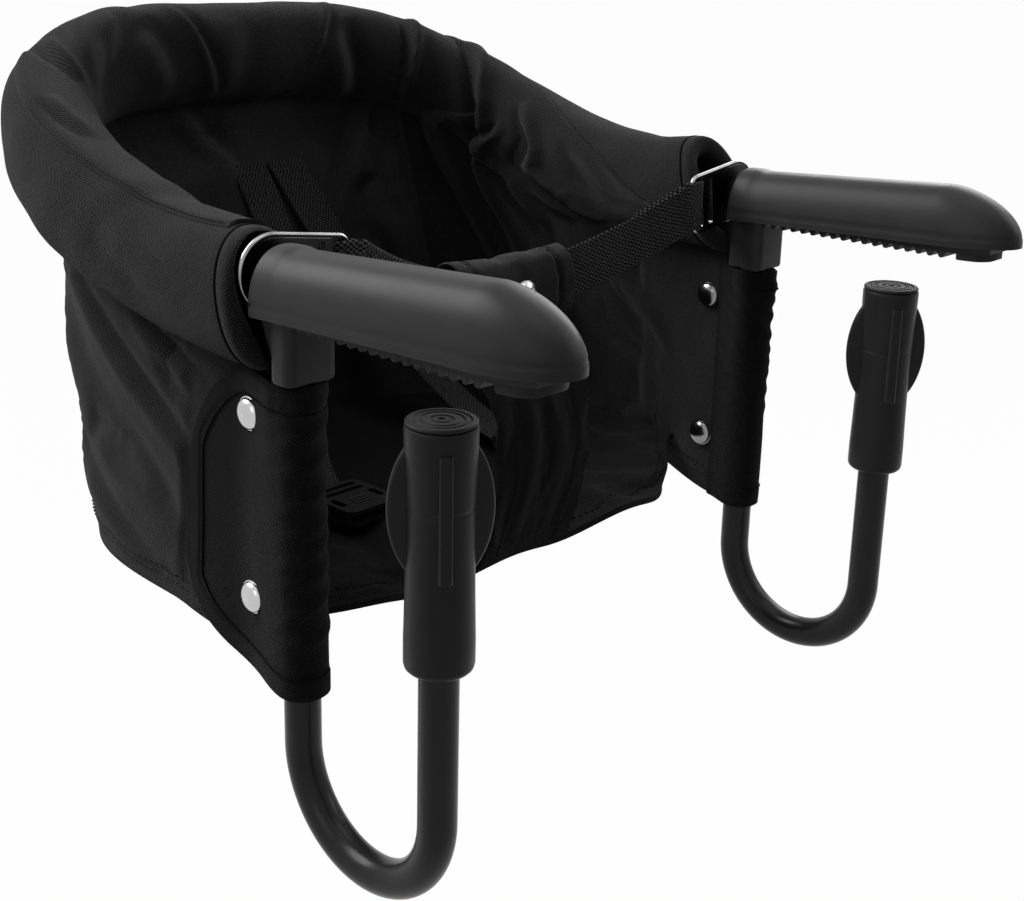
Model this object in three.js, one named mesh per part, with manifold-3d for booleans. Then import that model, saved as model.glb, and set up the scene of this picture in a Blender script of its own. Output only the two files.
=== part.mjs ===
// A clamp-on baby seat that hangs on a table edge. A fabric bucket hangs from a bent steel rim inside a
// padded collar. The rim ends in two arms that lie on the table top, and under each arm a J-shaped leg
// carries a winged sleeve that is screwed up against the table from below. Both arms fold inwards.
// Millimetres, +Z up. X = 0 is the middle, Y = 0 the table edge and Z = 0 the table top; arms point to -Y.

import * as THREE from 'three';
import { mergeVertices } from 'three/addons/utils/BufferGeometryUtils.js';
import Module from 'manifold-3d';

const wasm = await Module();
wasm.setup();

// Fits and facets
const FIT = 0.3;
const ROUND_SIDES = 12;
const TURNED_SIDES = 16;
const SNAP_SIDES = 12;
const CORNER_STEPS = 2;
const MERGE_DISTANCE = 1e-4;
const CUT_THROUGH = 20;

// Steel tubes
const ARM_SPACING = 320;
const TUBE_DIAMETER = 16;
const TUBE_WALL = 1.5;
const BEND_STEP = 18;

// Rim: heights of its axis, and its plan, straight at the sides and rounded at the back
const RIM_HEIGHT = 15;
const RIM_BACK_HEIGHT = 89;
const RIM_STRAIGHT = 125;
const RIM_DEPTH = 272;
const RIM_SQUARENESS = 3.4;
const RIM_RISE_POWER = 2.3;
const RIM_REACH = 100;
const RIM_STEP = 9;
const RIM_STRAIGHT_STEPS = 3;
const PLUG_FLANGE_DIAMETER = 20;
const PLUG_FLANGE_THICKNESS = 3;
const PLUG_SHANK_LENGTH = 16;

// Arms: a beak-shaped shell over a moulded joint
const ARM_REAR = 19;
const ARM_TIP = 138;
const ARM_WIDTH = 36;
const ARM_EDGE_REAR = 2;
const ARM_EDGE_FRONT = 8;
const ARM_TOP_REAR = 27;
const ARM_TOP_FRONT = 34;
const NOSE_LENGTH = 38;
const NOSE_PLAN_POWER = 2.4;
const NOSE_TOP_POWER = 1.65;
const NOSE_SHARES = [0.2, 0.4, 0.58, 0.74, 0.87, 0.95, 0.985];
const ARM_BODY_STEPS = 3;
const ARCH_POWER = 2.3;
const ARCH_POINTS = 10;
const BAND_LENGTH = 11;
const BAND_RISE = 1.2;
const EDGE_ROUND = 1.2;
const SHELL_WALL = 2.5;
const NOSE_FILL = 0.8;

// Boss that takes the leg, and the screw that holds the leg in it
const LEG_SETBACK = 11;
const BOSS_WIDTH = 26;
const BOSS_WALL = 2.5;
const BOSS_DROP = 26;
const BOSS_CORNER = 5;
const LEG_TOP = 3;
const SCREW_DROP = 14;
const SCREW_DIAMETER = 4;
const SCREW_HEAD_DIAMETER = 8;
const SCREW_HEAD_HEIGHT = 2.2;
const SCREW_LENGTH = 10;

// Toothed grip under each arm
const GRIP_WIDTH = 30;
const GRIP_THICKNESS = 4;
const TOOTH_PITCH = 6;
const TOOTH_DEPTH = 3;
const TOOTH_TIP = 1.6;
const TOOTH_ROOT_GAP = 0.6;
const GRIP_BLOCK_LENGTH = 15;

// J-shaped leg and its clamp
const LEG_SPAN = 84;
const BEND_DEPTH = 189;
const TABLE_GAP = 22;
const CLAMP_OPEN = 24;
const PAD_THICKNESS = 4;
const PAD_EDGE = 1;
const PAD_RING = 8;
const PAD_GROOVE = 0.6;
const SLEEVE_LENGTH = 95;
const SLEEVE_DIAMETER = 27.6;
const SLEEVE_WAIST = 25.8;
const SLEEVE_ROUND = 3;
const SLEEVE_ROOF = 4;
const THREAD_DIAMETER = 20.6;
const GUIDE_LENGTH = 8;
const STUB_DIAMETER = 8;
const STUB_HEIGHT = 2.2;
const WING_WIDTH = 43.5;
const WING_HEIGHT = 51;
const WING_THICKNESS = 3.6;
const WING_DROP = 36.5;
const FIN_REACH = 17;
const FIN_THICKNESS = 4.6;
const LEFT_WING_ANGLE = 36;
const RIGHT_WING_ANGLE = 44;
const THREAD_PLUG_LENGTH = 26;
const THREAD_PLUG_ROOF = 3;

// Padded collar rolled round the rim
const COLLAR_START = 40;
const COLLAR_WIDTH = 47;
const COLLAR_HEIGHT = 56;
const COLLAR_DROP = 6.5;
const COLLAR_POINTS = 14;
const COLLAR_POWER = 2.3;
const PUCKER_DEPTH = 1.6;
const PUCKER_COUNT = 11;

// Cloth bucket: sides, back and base
const CLOTH = 2.5;
const SEAM_GAP = 0.4;
const WALL_FRONT = 22;
const WALL_PINCH = 2.5;
const WALL_STRAIGHT = 100;
const WALL_DEPTH = 236;
const WALL_HALF = 167;
const WALL_SQUARENESS = 3;
const WALL_WIDENING = 60;
const WALL_BOTTOM = 148;
const SIDE_SHARE = 0.45;
const STATION_STEP = 1e-3;
const CORNER_ANGLE = 48;
const SIDE_COLUMNS = 15;
const BACK_COLUMNS = 7;
const WALL_ROWS = 7;
const FOLD_DEPTH = 3;
const FOLD_START = 0.42;
const FOLD_FADE_POWER = 6;
const FOLD_COUNT = 3;
const FOLD_SLANT = 0.9;
const BACK_CROWN = 7;
const BASE_HEIGHT = 138;
const BASE_FRONT = 8;
const BASE_FRONT_HALF = 145;
const BASE_INSET = 3;
const BASE_SAG = 7;
const BASE_EASE = 16;
const BASE_FRONT_ROWS = 3;
const BASE_REAR_ROWS = 6;
const BASE_COLUMNS = 8;

// Flap wrapped round each leg, with its two snaps
const FLAP_CLOTH = 2;
const FLAP_CLEARANCE = 1;
const FLAP_TOP = 31;
const FLAP_BOTTOM = 169;
const FLAP_BACK = 83;
const FLAP_BACK_RISE = 14;
const FLAP_CORNER = 20;
const FLAP_FOOT_CORNER = 25;
const FLAP_BACK_COLUMNS = 7;
const FLAP_ROWS = 6;
const FLAP_ARC_STEP = 20;
const FLAP_WRAP = 62;
const SNAP_DIAMETER = 15;
const SNAP_HEIGHT = 3;
const SNAP_RIM = 0.8;
const SNAP_DOME_ANGLE = 60;
const SNAP_DOME_STEPS = 2;
const SNAP_Y = 37;
const SNAP_UPPER = 46;
const SNAP_ABOVE_BASE = 9;

// Strap plates and harness webbing
const PLATE_Y = 26;
const PLATE_THICKNESS = 2.4;
const PLATE_EYE_DIAMETER = 27;
const PLATE_REACH = 38;
const PLATE_HEIGHT = 30;
const PLATE_CORNER = 4;
const SLOT_WIDTH = 3.6;
const SLOT_LENGTH = 25.6;
const SLOT_EDGE = 3.6;
const SLOT_SPACING = 8.5;
const WEBBING_WIDTH = 25;
const WEBBING_THICKNESS = 1.6;
const BELT_SAG = 34;
const BELT_BACK = 46;
const BELT_EASE = 5;
const BELT_STEPS = 16;
const BELT_SLOT_POWER = 12;
const CROTCH_SLEEVE_LENGTH = 86;
const CROTCH_SLEEVE_HEIGHT = 32;
const CROTCH_SLEEVE_DEPTH = 18;
const CROTCH_SLEEVE_POWER = 2.4;
const CROTCH_SLEEVE_STEPS = 8;
const CROTCH_SLEEVE_POINTS = 12;
const CROTCH_PANEL_TOP_WIDTH = 74;
const CROTCH_PANEL_WIDTH = 62;
const CROTCH_FLARE_POWER = 4;
const CROTCH_ROWS = 10;
const CROTCH_COLUMNS = 6;
const CROTCH_LEAN = 20;
const CROTCH_BELLY = 4;
const SHOULDER_ANCHOR = 18;
const SHOULDER_SPREAD = 14;
const SHOULDER_GAP = 1.1;
const SHOULDER_END_Y = 125;
const SHOULDER_SLACK_SHARE = 0.4;
const SHOULDER_SLACK = 12;
const SHOULDER_LYING = 40;
const SHOULDER_STEPS = 12;
const BUCKLE_LENGTH = 38;
const BUCKLE_WIDTH = 34;
const BUCKLE_HEIGHT = 9;
const BUCKLE_ROUND = 5;
const BUCKLE_SHELL = 2.2;
const BUCKLE_X = 52;
const TONGUE_X = 86;
const BUCKLE_LIFT = 0.2;

// Sizes worked out from the ones above
const HALF = ARM_SPACING / 2;
const TUBE_RADIUS = TUBE_DIAMETER / 2;
const LEG_FRONT_Y = LEG_SETBACK - LEG_SPAN;
const PAD_BOTTOM = -TABLE_GAP - PAD_THICKNESS;
const SLEEVE_TOP = PAD_BOTTOM - FIT;
const ROOF_UNDERSIDE = SLEEVE_TOP - SLEEVE_ROOF;
const THREAD_PLUG_TOP = ROOF_UNDERSIDE - CLAMP_OPEN - FIT;
const LEG_FRONT_TOP = THREAD_PLUG_TOP - THREAD_PLUG_ROOF;
const BOSS_DEPTH = LEG_SETBACK + TUBE_RADIUS + BOSS_WALL;
const COLLAR_BOTTOM = COLLAR_DROP + COLLAR_HEIGHT / 2;
const SNAP_LOWER = BASE_HEIGHT - SNAP_ABOVE_BASE;
const BELT_LOW = RIM_HEIGHT - BELT_SAG;
const BELT_FRONT = PLATE_Y - FIT - WEBBING_THICKNESS;
const BELT_HALF = HALF - PLATE_REACH - BELT_EASE;
const BUCKLE_Y = SHOULDER_END_Y - BUCKLE_LENGTH / 2 - SEAM_GAP;

const MATERIALS = {
  steel: { color: 0x101011, roughness: 0.28, metalness: 0.0 },
  plate: { color: 0x141415, roughness: 0.32, metalness: 0.6 },
  plastic: { color: 0x17181a, roughness: 0.45, metalness: 0.0 },
  inner: { color: 0x1c1d1f, roughness: 0.55, metalness: 0.0 },
  rubber: { color: 0x1b1b1c, roughness: 0.7, metalness: 0.0 },
  cloth: { color: 0x0d0d0e, roughness: 0.9, metalness: 0.0 },
  webbing: { color: 0x101011, roughness: 0.85, metalness: 0.0 },
  bright: { color: 0xc9c9c9, roughness: 0.18, metalness: 1.0 },
};

// Geometry helpers

const radians = THREE.MathUtils.degToRad;
const lerp = THREE.MathUtils.lerp;
const clamp01 = (value) => THREE.MathUtils.clamp(value, 0, 1);
const smooth = (share) => THREE.MathUtils.smoothstep(share, 0, 1);
const point = (x, y, z) => new THREE.Vector3(x, y, z);

/** Evenly spaced values from one end to the other, both included. */
function range(from, to, count) {
  return Array.from({ length: count + 1 }, (_, index) => lerp(from, to, index / count));
}

/** Closed mesh from points and triangles, turned to face outwards. */
function closedGeometry(points, faces) {
  const volume = faces.reduce((sum, [a, b, c]) => {
    return sum + points[a].dot(point().crossVectors(points[b], points[c]));
  }, 0);
  const turned = volume < 0 ? faces.map(([a, b, c]) => [a, c, b]) : faces;
  const geometry = new THREE.BufferGeometry().setFromPoints(points);
  geometry.setIndex(turned.flat());
  return geometry;
}

/** Side triangles between two equal rings that start at the given indices. */
function bandFaces(first, second, count) {
  const faces = [];
  for (let i = 0; i < count; i += 1) {
    const next = (i + 1) % count;
    faces.push([first + i, first + next, second + next], [first + i, second + next, second + i]);
  }
  return faces;
}

/** Solid skinned over equal rings, closed at each end by a fan. */
function loft(rings) {
  const count = rings[0].length;
  const points = rings.flat();
  const faces = [];
  for (let i = 0; i < rings.length - 1; i += 1) faces.push(...bandFaces(i * count, (i + 1) * count, count));
  [0, rings.length - 1].forEach((index) => {
    const centre = rings[index].reduce((sum, p) => sum.add(p), point()).divideScalar(count);
    const hub = points.push(centre) - 1;
    const start = index * count;
    for (let i = 0; i < count; i += 1) {
      const next = (i + 1) % count;
      faces.push(index === 0 ? [hub, start + next, start + i] : [hub, start + i, start + next]);
    }
  });
  return closedGeometry(points, faces);
}

/** Open-ended hollow solid between matching outer and inner rings. */
function hollowLoft(outer, inner) {
  const count = outer[0].length;
  const size = outer.length * count;
  const points = [...outer.flat(), ...inner.flat()];
  const faces = [];
  for (let i = 0; i < outer.length - 1; i += 1) {
    const here = i * count;
    faces.push(...bandFaces(here, here + count, count));
    faces.push(...bandFaces(size + here + count, size + here, count));
  }
  const last = (outer.length - 1) * count;
  faces.push(...bandFaces(size, 0, count), ...bandFaces(last, size + last, count));
  return closedGeometry(points, faces);
}

/** Thin closed sheet of even thickness round a grid of points, grid[i][j]. */
function sheet(grid, thickness) {
  const rows = grid.length;
  const columns = grid[0].length;
  const at = (i, j) => grid[THREE.MathUtils.clamp(i, 0, rows - 1)][THREE.MathUtils.clamp(j, 0, columns - 1)];
  const sides = [[], []];
  for (let i = 0; i < rows; i += 1) {
    for (let j = 0; j < columns; j += 1) {
      const along = at(i + 1, j).clone().sub(at(i - 1, j));
      const across = at(i, j + 1).clone().sub(at(i, j - 1));
      const normal = along.cross(across).normalize().multiplyScalar(thickness / 2);
      sides[0].push(at(i, j).clone().add(normal));
      sides[1].push(at(i, j).clone().sub(normal));
    }
  }
  const size = rows * columns;
  const index = (i, j) => i * columns + j;
  const faces = [];
  for (let i = 0; i < rows - 1; i += 1) {
    for (let j = 0; j < columns - 1; j += 1) {
      const [a, b, c, d] = [index(i, j), index(i + 1, j), index(i + 1, j + 1), index(i, j + 1)];
      faces.push([a, b, c], [a, c, d], [size + a, size + c, size + b], [size + a, size + d, size + c]);
    }
  }
  const border = [];
  for (let i = 0; i < rows - 1; i += 1) border.push(index(i, 0));
  for (let j = 0; j < columns - 1; j += 1) border.push(index(rows - 1, j));
  for (let i = rows - 1; i > 0; i -= 1) border.push(index(i, columns - 1));
  for (let j = columns - 1; j > 0; j -= 1) border.push(index(0, j));
  border.forEach((a, k) => {
    const b = border[(k + 1) % border.length];
    faces.push([b, a, size + a], [b, size + a, size + b]);
  });
  return closedGeometry(sides.flat(), faces);
}

/** Direction of a path of points at one of them. */
function tangentAt(path, index) {
  const next = path[Math.min(index + 1, path.length - 1)];
  const previous = path[Math.max(index - 1, 0)];
  return next.clone().sub(previous).normalize();
}

/** Rings of a section along a path; the section gives [side, up] for a share of a turn at a station. */
function ringsAlong(path, up, count, section) {
  return path.map((centre, station) => {
    const tangent = tangentAt(path, station);
    const side = point().crossVectors(tangent, up).normalize();
    const rise = point().crossVectors(side, tangent);
    return Array.from({ length: count }, (_, k) => {
      const [across, height] = section(k / count, station);
      return centre.clone().addScaledVector(side, across).addScaledVector(rise, height);
    });
  });
}

const roundSection = (radius) => (share) => {
  const angle = share * 2 * Math.PI;
  return [radius * Math.cos(angle), radius * Math.sin(angle)];
};

/** Point of a rounded box outline with half sizes a and b, as a share of a turn. */
function softBox(share, a, b, power) {
  const angle = share * 2 * Math.PI;
  const [c, s] = [Math.cos(angle), Math.sin(angle)];
  const radius = (Math.abs(c) ** power + Math.abs(s) ** power) ** (-1 / power);
  return [a * radius * c, b * radius * s];
}

/** Hollow steel tube along a path. */
function pipe(path, up) {
  const outer = ringsAlong(path, up, ROUND_SIDES, roundSection(TUBE_RADIUS));
  const inner = ringsAlong(path, up, ROUND_SIDES, roundSection(TUBE_RADIUS - TUBE_WALL));
  return hollowLoft(outer, inner);
}

/** Flat band of webbing along a path, its width along the given direction. */
function band(path, widthDirection) {
  const rings = path.map((centre, station) => {
    const thin = point().crossVectors(tangentAt(path, station), widthDirection).normalize();
    return [[-1, -1], [1, -1], [1, 1], [-1, 1]].map(([w, t]) => centre.clone()
      .addScaledVector(widthDirection, (w * WEBBING_WIDTH) / 2)
      .addScaledVector(thin, (t * WEBBING_THICKNESS) / 2));
  });
  return loft(rings);
}

/** Solid for joining and cutting. */
function toSolid(geometry) {
  const bare = new THREE.BufferGeometry();
  bare.setAttribute('position', geometry.getAttribute('position').clone());
  if (geometry.index) bare.setIndex(geometry.index.clone());
  const merged = mergeVertices(bare, MERGE_DISTANCE);
  const vertProperties = new Float32Array(merged.attributes.position.array);
  const triVerts = new Uint32Array(merged.index.array);
  return new wasm.Manifold(new wasm.Mesh({ numProp: 3, vertProperties, triVerts }));
}

/** Geometry of a joined or cut solid. */
function fromSolid(solid) {
  const mesh = solid.getMesh();
  const geometry = new THREE.BufferGeometry();
  geometry.setAttribute('position', new THREE.BufferAttribute(new Float32Array(mesh.vertProperties), 3));
  geometry.setIndex(new THREE.BufferAttribute(new Uint32Array(mesh.triVerts), 1));
  return geometry;
}

/** Copy of a left piece for the right side. */
function mirrored(geometry) {
  const copy = toSolid(geometry).getMesh();
  const points = [];
  for (let i = 0; i < copy.vertProperties.length; i += 3) {
    points.push(point(-copy.vertProperties[i], copy.vertProperties[i + 1], copy.vertProperties[i + 2]));
  }
  const faces = [];
  for (let i = 0; i < copy.triVerts.length; i += 3) faces.push([...copy.triVerts.slice(i, i + 3)]);
  return closedGeometry(points, faces);
}

/** Outline in the XY plane raised between two heights. */
function raised(shape, bottom, top, curveSegments = CORNER_STEPS) {
  const options = { depth: top - bottom, bevelEnabled: false, curveSegments };
  return new THREE.ExtrudeGeometry(shape, options).translate(0, 0, bottom);
}

/** Outline drawn as [Y, Z] and extruded across X, centred. */
function acrossX(shape, width) {
  const geometry = new THREE.ExtrudeGeometry(shape, { depth: width, bevelEnabled: false });
  geometry.translate(0, 0, -width / 2).rotateY(Math.PI / 2).rotateX(Math.PI / 2);
  return geometry;
}

/** Outline drawn as [X, Z] and extruded along Y from a start. */
function alongY(shape, start, length, curveSegments = CORNER_STEPS) {
  const geometry = new THREE.ExtrudeGeometry(shape, { depth: length, bevelEnabled: false, curveSegments });
  return geometry.rotateX(Math.PI / 2).translate(0, start + length, 0);
}

/** Turned solid about Z from [radius, height] points. */
function turned(profile, sides = TURNED_SIDES) {
  const outline = profile.map(([radius, height]) => new THREE.Vector2(radius, height));
  return new THREE.LatheGeometry(outline, sides).rotateX(Math.PI / 2);
}

/** Radius of a faceted bore whose flats clear a round piece by the fit. */
const boreRadius = (radius, sides = ROUND_SIDES) => (radius + FIT) / Math.cos(Math.PI / sides);

/** Cylinder along Y or Z between two places. */
function rod(axis, radius, from, to, sides = ROUND_SIDES) {
  const geometry = new THREE.CylinderGeometry(radius, radius, to - from, sides);
  if (axis === 'z') geometry.rotateX(Math.PI / 2).translate(0, 0, (from + to) / 2);
  else geometry.translate(0, (from + to) / 2, 0);
  return geometry;
}

/** Rectangle with rounded corners round a centre. */
function roundedRectangle(width, height, corner, [cx, cy] = [0, 0]) {
  const shape = new THREE.Shape();
  const [left, right, low, high] = [cx - width / 2, cx + width / 2, cy - height / 2, cy + height / 2];
  shape.moveTo(left + corner, low);
  shape.lineTo(right - corner, low);
  shape.absarc(right - corner, low + corner, corner, -Math.PI / 2, 0);
  shape.lineTo(right, high - corner);
  shape.absarc(right - corner, high - corner, corner, 0, Math.PI / 2);
  shape.lineTo(left + corner, high);
  shape.absarc(left + corner, high - corner, corner, Math.PI / 2, Math.PI);
  shape.lineTo(left, low + corner);
  shape.absarc(left + corner, low + corner, corner, Math.PI, 1.5 * Math.PI);
  return shape;
}

// Rim and collar

/** Height of the rim's axis at a depth: level at the arms, rising to the back. */
function rimHeight(y) {
  const share = clamp01((y - COLLAR_START) / (RIM_DEPTH - COLLAR_START));
  return lerp(RIM_HEIGHT, RIM_BACK_HEIGHT, share ** RIM_RISE_POWER);
}

/** Plan point of a squared half ring: angle 0 at its left end and 180 at its right. */
function planPoint(angle, half, straight, depth, squareness) {
  const [across, back] = softBox(angle / 360, half, depth - straight, squareness);
  return [-across, straight + back];
}

/** Rim axis from the collar's left end round to its right end. */
function rimAxis() {
  const curved = range(0, 180, 180 / RIM_STEP).map((angle) => {
    return planPoint(angle, HALF, RIM_STRAIGHT, RIM_DEPTH, RIM_SQUARENESS);
  });
  const straight = range(COLLAR_START, RIM_STRAIGHT, RIM_STRAIGHT_STEPS).slice(0, -1);
  const left = straight.map((y) => [-HALF, y]);
  const right = straight.reverse().map((y) => [HALF, y]);
  return [...left, ...curved, ...right].map(([x, y]) => point(x, y, rimHeight(y)));
}

function rimTube() {
  const start = point(-HALF, -RIM_REACH, RIM_HEIGHT);
  const end = point(HALF, -RIM_REACH, RIM_HEIGHT);
  return pipe([start, ...rimAxis(), end], point(0, 0, 1));
}

/** Plug in the rim's end whose flange keeps the arm on the tube; local to its arm. */
function rimPlug() {
  const shank = TUBE_RADIUS - TUBE_WALL - FIT;
  const face = -RIM_REACH - FIT;
  const flange = rod('y', PLUG_FLANGE_DIAMETER / 2, face - PLUG_FLANGE_THICKNESS, face);
  const stem = rod('y', shank * Math.cos(Math.PI / ROUND_SIDES), face - FIT, face + PLUG_SHANK_LENGTH);
  return fromSolid(toSolid(flange).add(toSolid(stem))).translate(0, 0, RIM_HEIGHT);
}

/** Padded roll round the rim, gathered into shallow puckers. */
function rimCollar() {
  const path = rimAxis();
  const last = path.length - 1;
  const outer = ringsAlong(path, point(0, 0, 1), COLLAR_POINTS, (share, station) => {
    const [across, height] = softBox(share, COLLAR_WIDTH / 2, COLLAR_HEIGHT / 2, COLLAR_POWER);
    const along = station / last;
    const wave = Math.sin(2 * Math.PI * PUCKER_COUNT * along) * Math.sin(Math.PI * along);
    const scale = 1 - (2 * PUCKER_DEPTH * wave) / (COLLAR_WIDTH + COLLAR_HEIGHT);
    return [across * scale, height * scale - COLLAR_DROP];
  });
  const inner = ringsAlong(path, point(0, 0, 1), COLLAR_POINTS, roundSection(boreRadius(TUBE_RADIUS)));
  return hollowLoft(outer, inner);
}

// Arms, built round x = 0 with +x inwards

/** Sizes of the arm's section at a depth, drawn in by an inset. */
function armSection(y, inset) {
  const noseStart = NOSE_LENGTH - ARM_TIP;
  const along = clamp01((ARM_REAR - y) / (ARM_REAR + ARM_TIP));
  const climb = clamp01((ARM_REAR - y) / (ARM_REAR - noseStart));
  const nose = clamp01((noseStart - y) / NOSE_LENGTH);
  const bandRise = y > ARM_REAR - BAND_LENGTH ? BAND_RISE : 0;
  const edge = lerp(ARM_EDGE_REAR, ARM_EDGE_FRONT, along);
  const rise = lerp(ARM_TOP_REAR, ARM_TOP_FRONT, climb) - edge;
  return {
    edge,
    half: (ARM_WIDTH / 2) * Math.sqrt(1 - nose ** NOSE_PLAN_POWER) + bandRise - inset,
    height: rise * Math.sqrt(1 - nose ** NOSE_TOP_POWER) + bandRise - inset,
  };
}

/** Arch of the arm's section at a depth; skirt carries its sides straight down below the edge. */
function armRing(y, inset, skirt) {
  const { edge, half, height } = armSection(y, inset);
  const arch = range(0, 0.5, ARCH_POINTS).map((share) => {
    const [across, up] = softBox(share, half, height, ARCH_POWER);
    return point(across, y, edge + up);
  });
  if (!skirt) return arch;
  return [point(half, y, edge - skirt), ...arch, point(-half, y, edge - skirt)];
}

/** Depths of the arm's rings from the rear to a share of the nose. */
function armStations(rear, noseEnd) {
  const noseStart = NOSE_LENGTH - ARM_TIP;
  const bandEnd = ARM_REAR - BAND_LENGTH;
  const body = [rear, bandEnd + FIT, bandEnd - BAND_RISE, ...range(-BAND_LENGTH, noseStart, ARM_BODY_STEPS)];
  const nose = NOSE_SHARES.filter((share) => share < noseEnd);
  return [...body, ...nose.map((share) => noseStart - share * NOSE_LENGTH)];
}

/** Depth of the grip's front end. */
const gripFront = () => armStations(ARM_REAR, NOSE_FILL).pop() + FIT;

/** Outline of the grip seen from above, from the boss to the rounded front. */
function gripOutline() {
  const inset = (ARM_WIDTH - GRIP_WIDTH) / 2;
  const stations = armStations(ARM_REAR, NOSE_FILL).filter((y) => y <= -BAND_LENGTH);
  const depths = [-FIT, ...stations.slice(0, -1), gripFront()];
  const left = depths.map((y) => [armSection(Math.min(y, -BAND_LENGTH), inset).half, y]);
  const right = left.map(([x, y]) => [-x, y]).reverse();
  return new THREE.Shape([...left, ...right].map(([x, y]) => new THREE.Vector2(x, y)));
}

/** Moulded joint inside the arm: it turns on the rim's end and holds the leg in its boss. */
function armJoint() {
  const stations = armStations(ARM_REAR - SHELL_WALL - FIT, NOSE_FILL).slice(0, -1);
  const filling = toSolid(loft(stations.map((y) => armRing(y, SHELL_WALL + FIT, CUT_THROUGH))));
  const floor = raised(roundedRectangle(ARM_WIDTH, 4 * ARM_TIP, FIT), GRIP_THICKNESS + FIT, ARM_WIDTH * 2);
  const bossShape = new THREE.Shape();
  const half = BOSS_WIDTH / 2;
  bossShape.moveTo(-half + BOSS_CORNER, 0);
  bossShape.lineTo(half - BOSS_CORNER, 0);
  bossShape.absarc(half - BOSS_CORNER, BOSS_CORNER, BOSS_CORNER, -Math.PI / 2, 0);
  bossShape.lineTo(half, LEG_SETBACK);
  bossShape.absellipse(0, LEG_SETBACK, half, BOSS_DEPTH - LEG_SETBACK, 0, Math.PI);
  bossShape.lineTo(-half, BOSS_CORNER);
  bossShape.absarc(-half + BOSS_CORNER, BOSS_CORNER, BOSS_CORNER, Math.PI, 1.5 * Math.PI);
  const boss = raised(bossShape, -BOSS_DROP, ARM_EDGE_REAR - FIT);
  const neckDepth = ARM_REAR - SHELL_WALL - FIT;
  const neckShape = roundedRectangle(BOSS_WIDTH, neckDepth, FIT, [0, neckDepth / 2]);
  const neck = raised(neckShape, -BOSS_DROP / 2, GRIP_THICKNESS * 2);
  const plinth = raised(gripOutline(), GRIP_THICKNESS + FIT, ARM_EDGE_FRONT + FIT);
  const rimBore = rod('y', boreRadius(TUBE_RADIUS), -RIM_REACH - FIT, ARM_REAR + CUT_THROUGH);
  const pocketFront = -RIM_REACH - PLUG_FLANGE_THICKNESS - 3 * FIT;
  const pocket = rod('y', boreRadius(PLUG_FLANGE_DIAMETER / 2), pocketFront, -RIM_REACH + FIT);
  const legBore = rod('z', boreRadius(TUBE_RADIUS), -BOSS_DROP - CUT_THROUGH, LEG_TOP + FIT);
  const screwBore = rod('y', boreRadius(SCREW_DIAMETER / 2), LEG_SETBACK, BOSS_DEPTH + CUT_THROUGH);
  return fromSolid(filling.intersect(toSolid(floor))
    .add(toSolid(boss)).add(toSolid(neck)).add(toSolid(plinth))
    .subtract(toSolid(rimBore.translate(0, 0, RIM_HEIGHT)))
    .subtract(toSolid(pocket.translate(0, 0, RIM_HEIGHT)))
    .subtract(toSolid(legBore.translate(0, LEG_SETBACK, 0)))
    .subtract(toSolid(screwBore.translate(0, 0, -SCREW_DROP))));
}

/** Beak-shaped cover over the joint, open below, notched at the rear for the rim. */
function armShell() {
  const stations = armStations(ARM_REAR - EDGE_ROUND, 1);
  const rings = [armRing(ARM_REAR, EDGE_ROUND), ...stations.map((y) => armRing(y, 0))];
  const inside = armStations(ARM_REAR - SHELL_WALL, NOSE_FILL);
  const hollow = loft(inside.map((y) => armRing(y, SHELL_WALL, CUT_THROUGH)));
  const notchWidth = 2 * boreRadius(TUBE_RADIUS);
  const notchShape = new THREE.Shape();
  notchShape.moveTo(-notchWidth / 2, -CUT_THROUGH);
  notchShape.lineTo(notchWidth / 2, -CUT_THROUGH);
  notchShape.lineTo(notchWidth / 2, RIM_HEIGHT);
  notchShape.absarc(0, RIM_HEIGHT, notchWidth / 2, 0, Math.PI);
  const notch = alongY(notchShape, ARM_REAR - 2 * SHELL_WALL, 2 * CUT_THROUGH, ROUND_SIDES / 2);
  return fromSolid(toSolid(loft(rings)).subtract(toSolid(hollow)).subtract(toSolid(notch)));
}

/** Rubber strip under the arm: cross teeth, then a plain block at the front. */
function gripPad() {
  const front = gripFront();
  const teethEnd = front + GRIP_BLOCK_LENGTH;
  const count = Math.floor(-teethEnd / TOOTH_PITCH);
  const profile = new THREE.Shape();
  profile.moveTo(0, GRIP_THICKNESS);
  profile.lineTo(0, TOOTH_DEPTH);
  for (let i = 0; i < count; i += 1) {
    const root = -i * TOOTH_PITCH - TOOTH_ROOT_GAP;
    const slope = (TOOTH_PITCH - TOOTH_TIP - TOOTH_ROOT_GAP) / 2;
    profile.lineTo(root, TOOTH_DEPTH);
    profile.lineTo(root - slope, 0);
    profile.lineTo(root - slope - TOOTH_TIP, 0);
    profile.lineTo(root - 2 * slope - TOOTH_TIP, TOOTH_DEPTH);
  }
  profile.lineTo(teethEnd, TOOTH_DEPTH);
  profile.lineTo(teethEnd, 0);
  profile.lineTo(front, 0);
  profile.lineTo(front, GRIP_THICKNESS);
  const strip = toSolid(acrossX(profile, 2 * ARM_WIDTH));
  return fromSolid(strip.intersect(toSolid(raised(gripOutline(), -FIT, 2 * GRIP_THICKNESS))));
}

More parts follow.
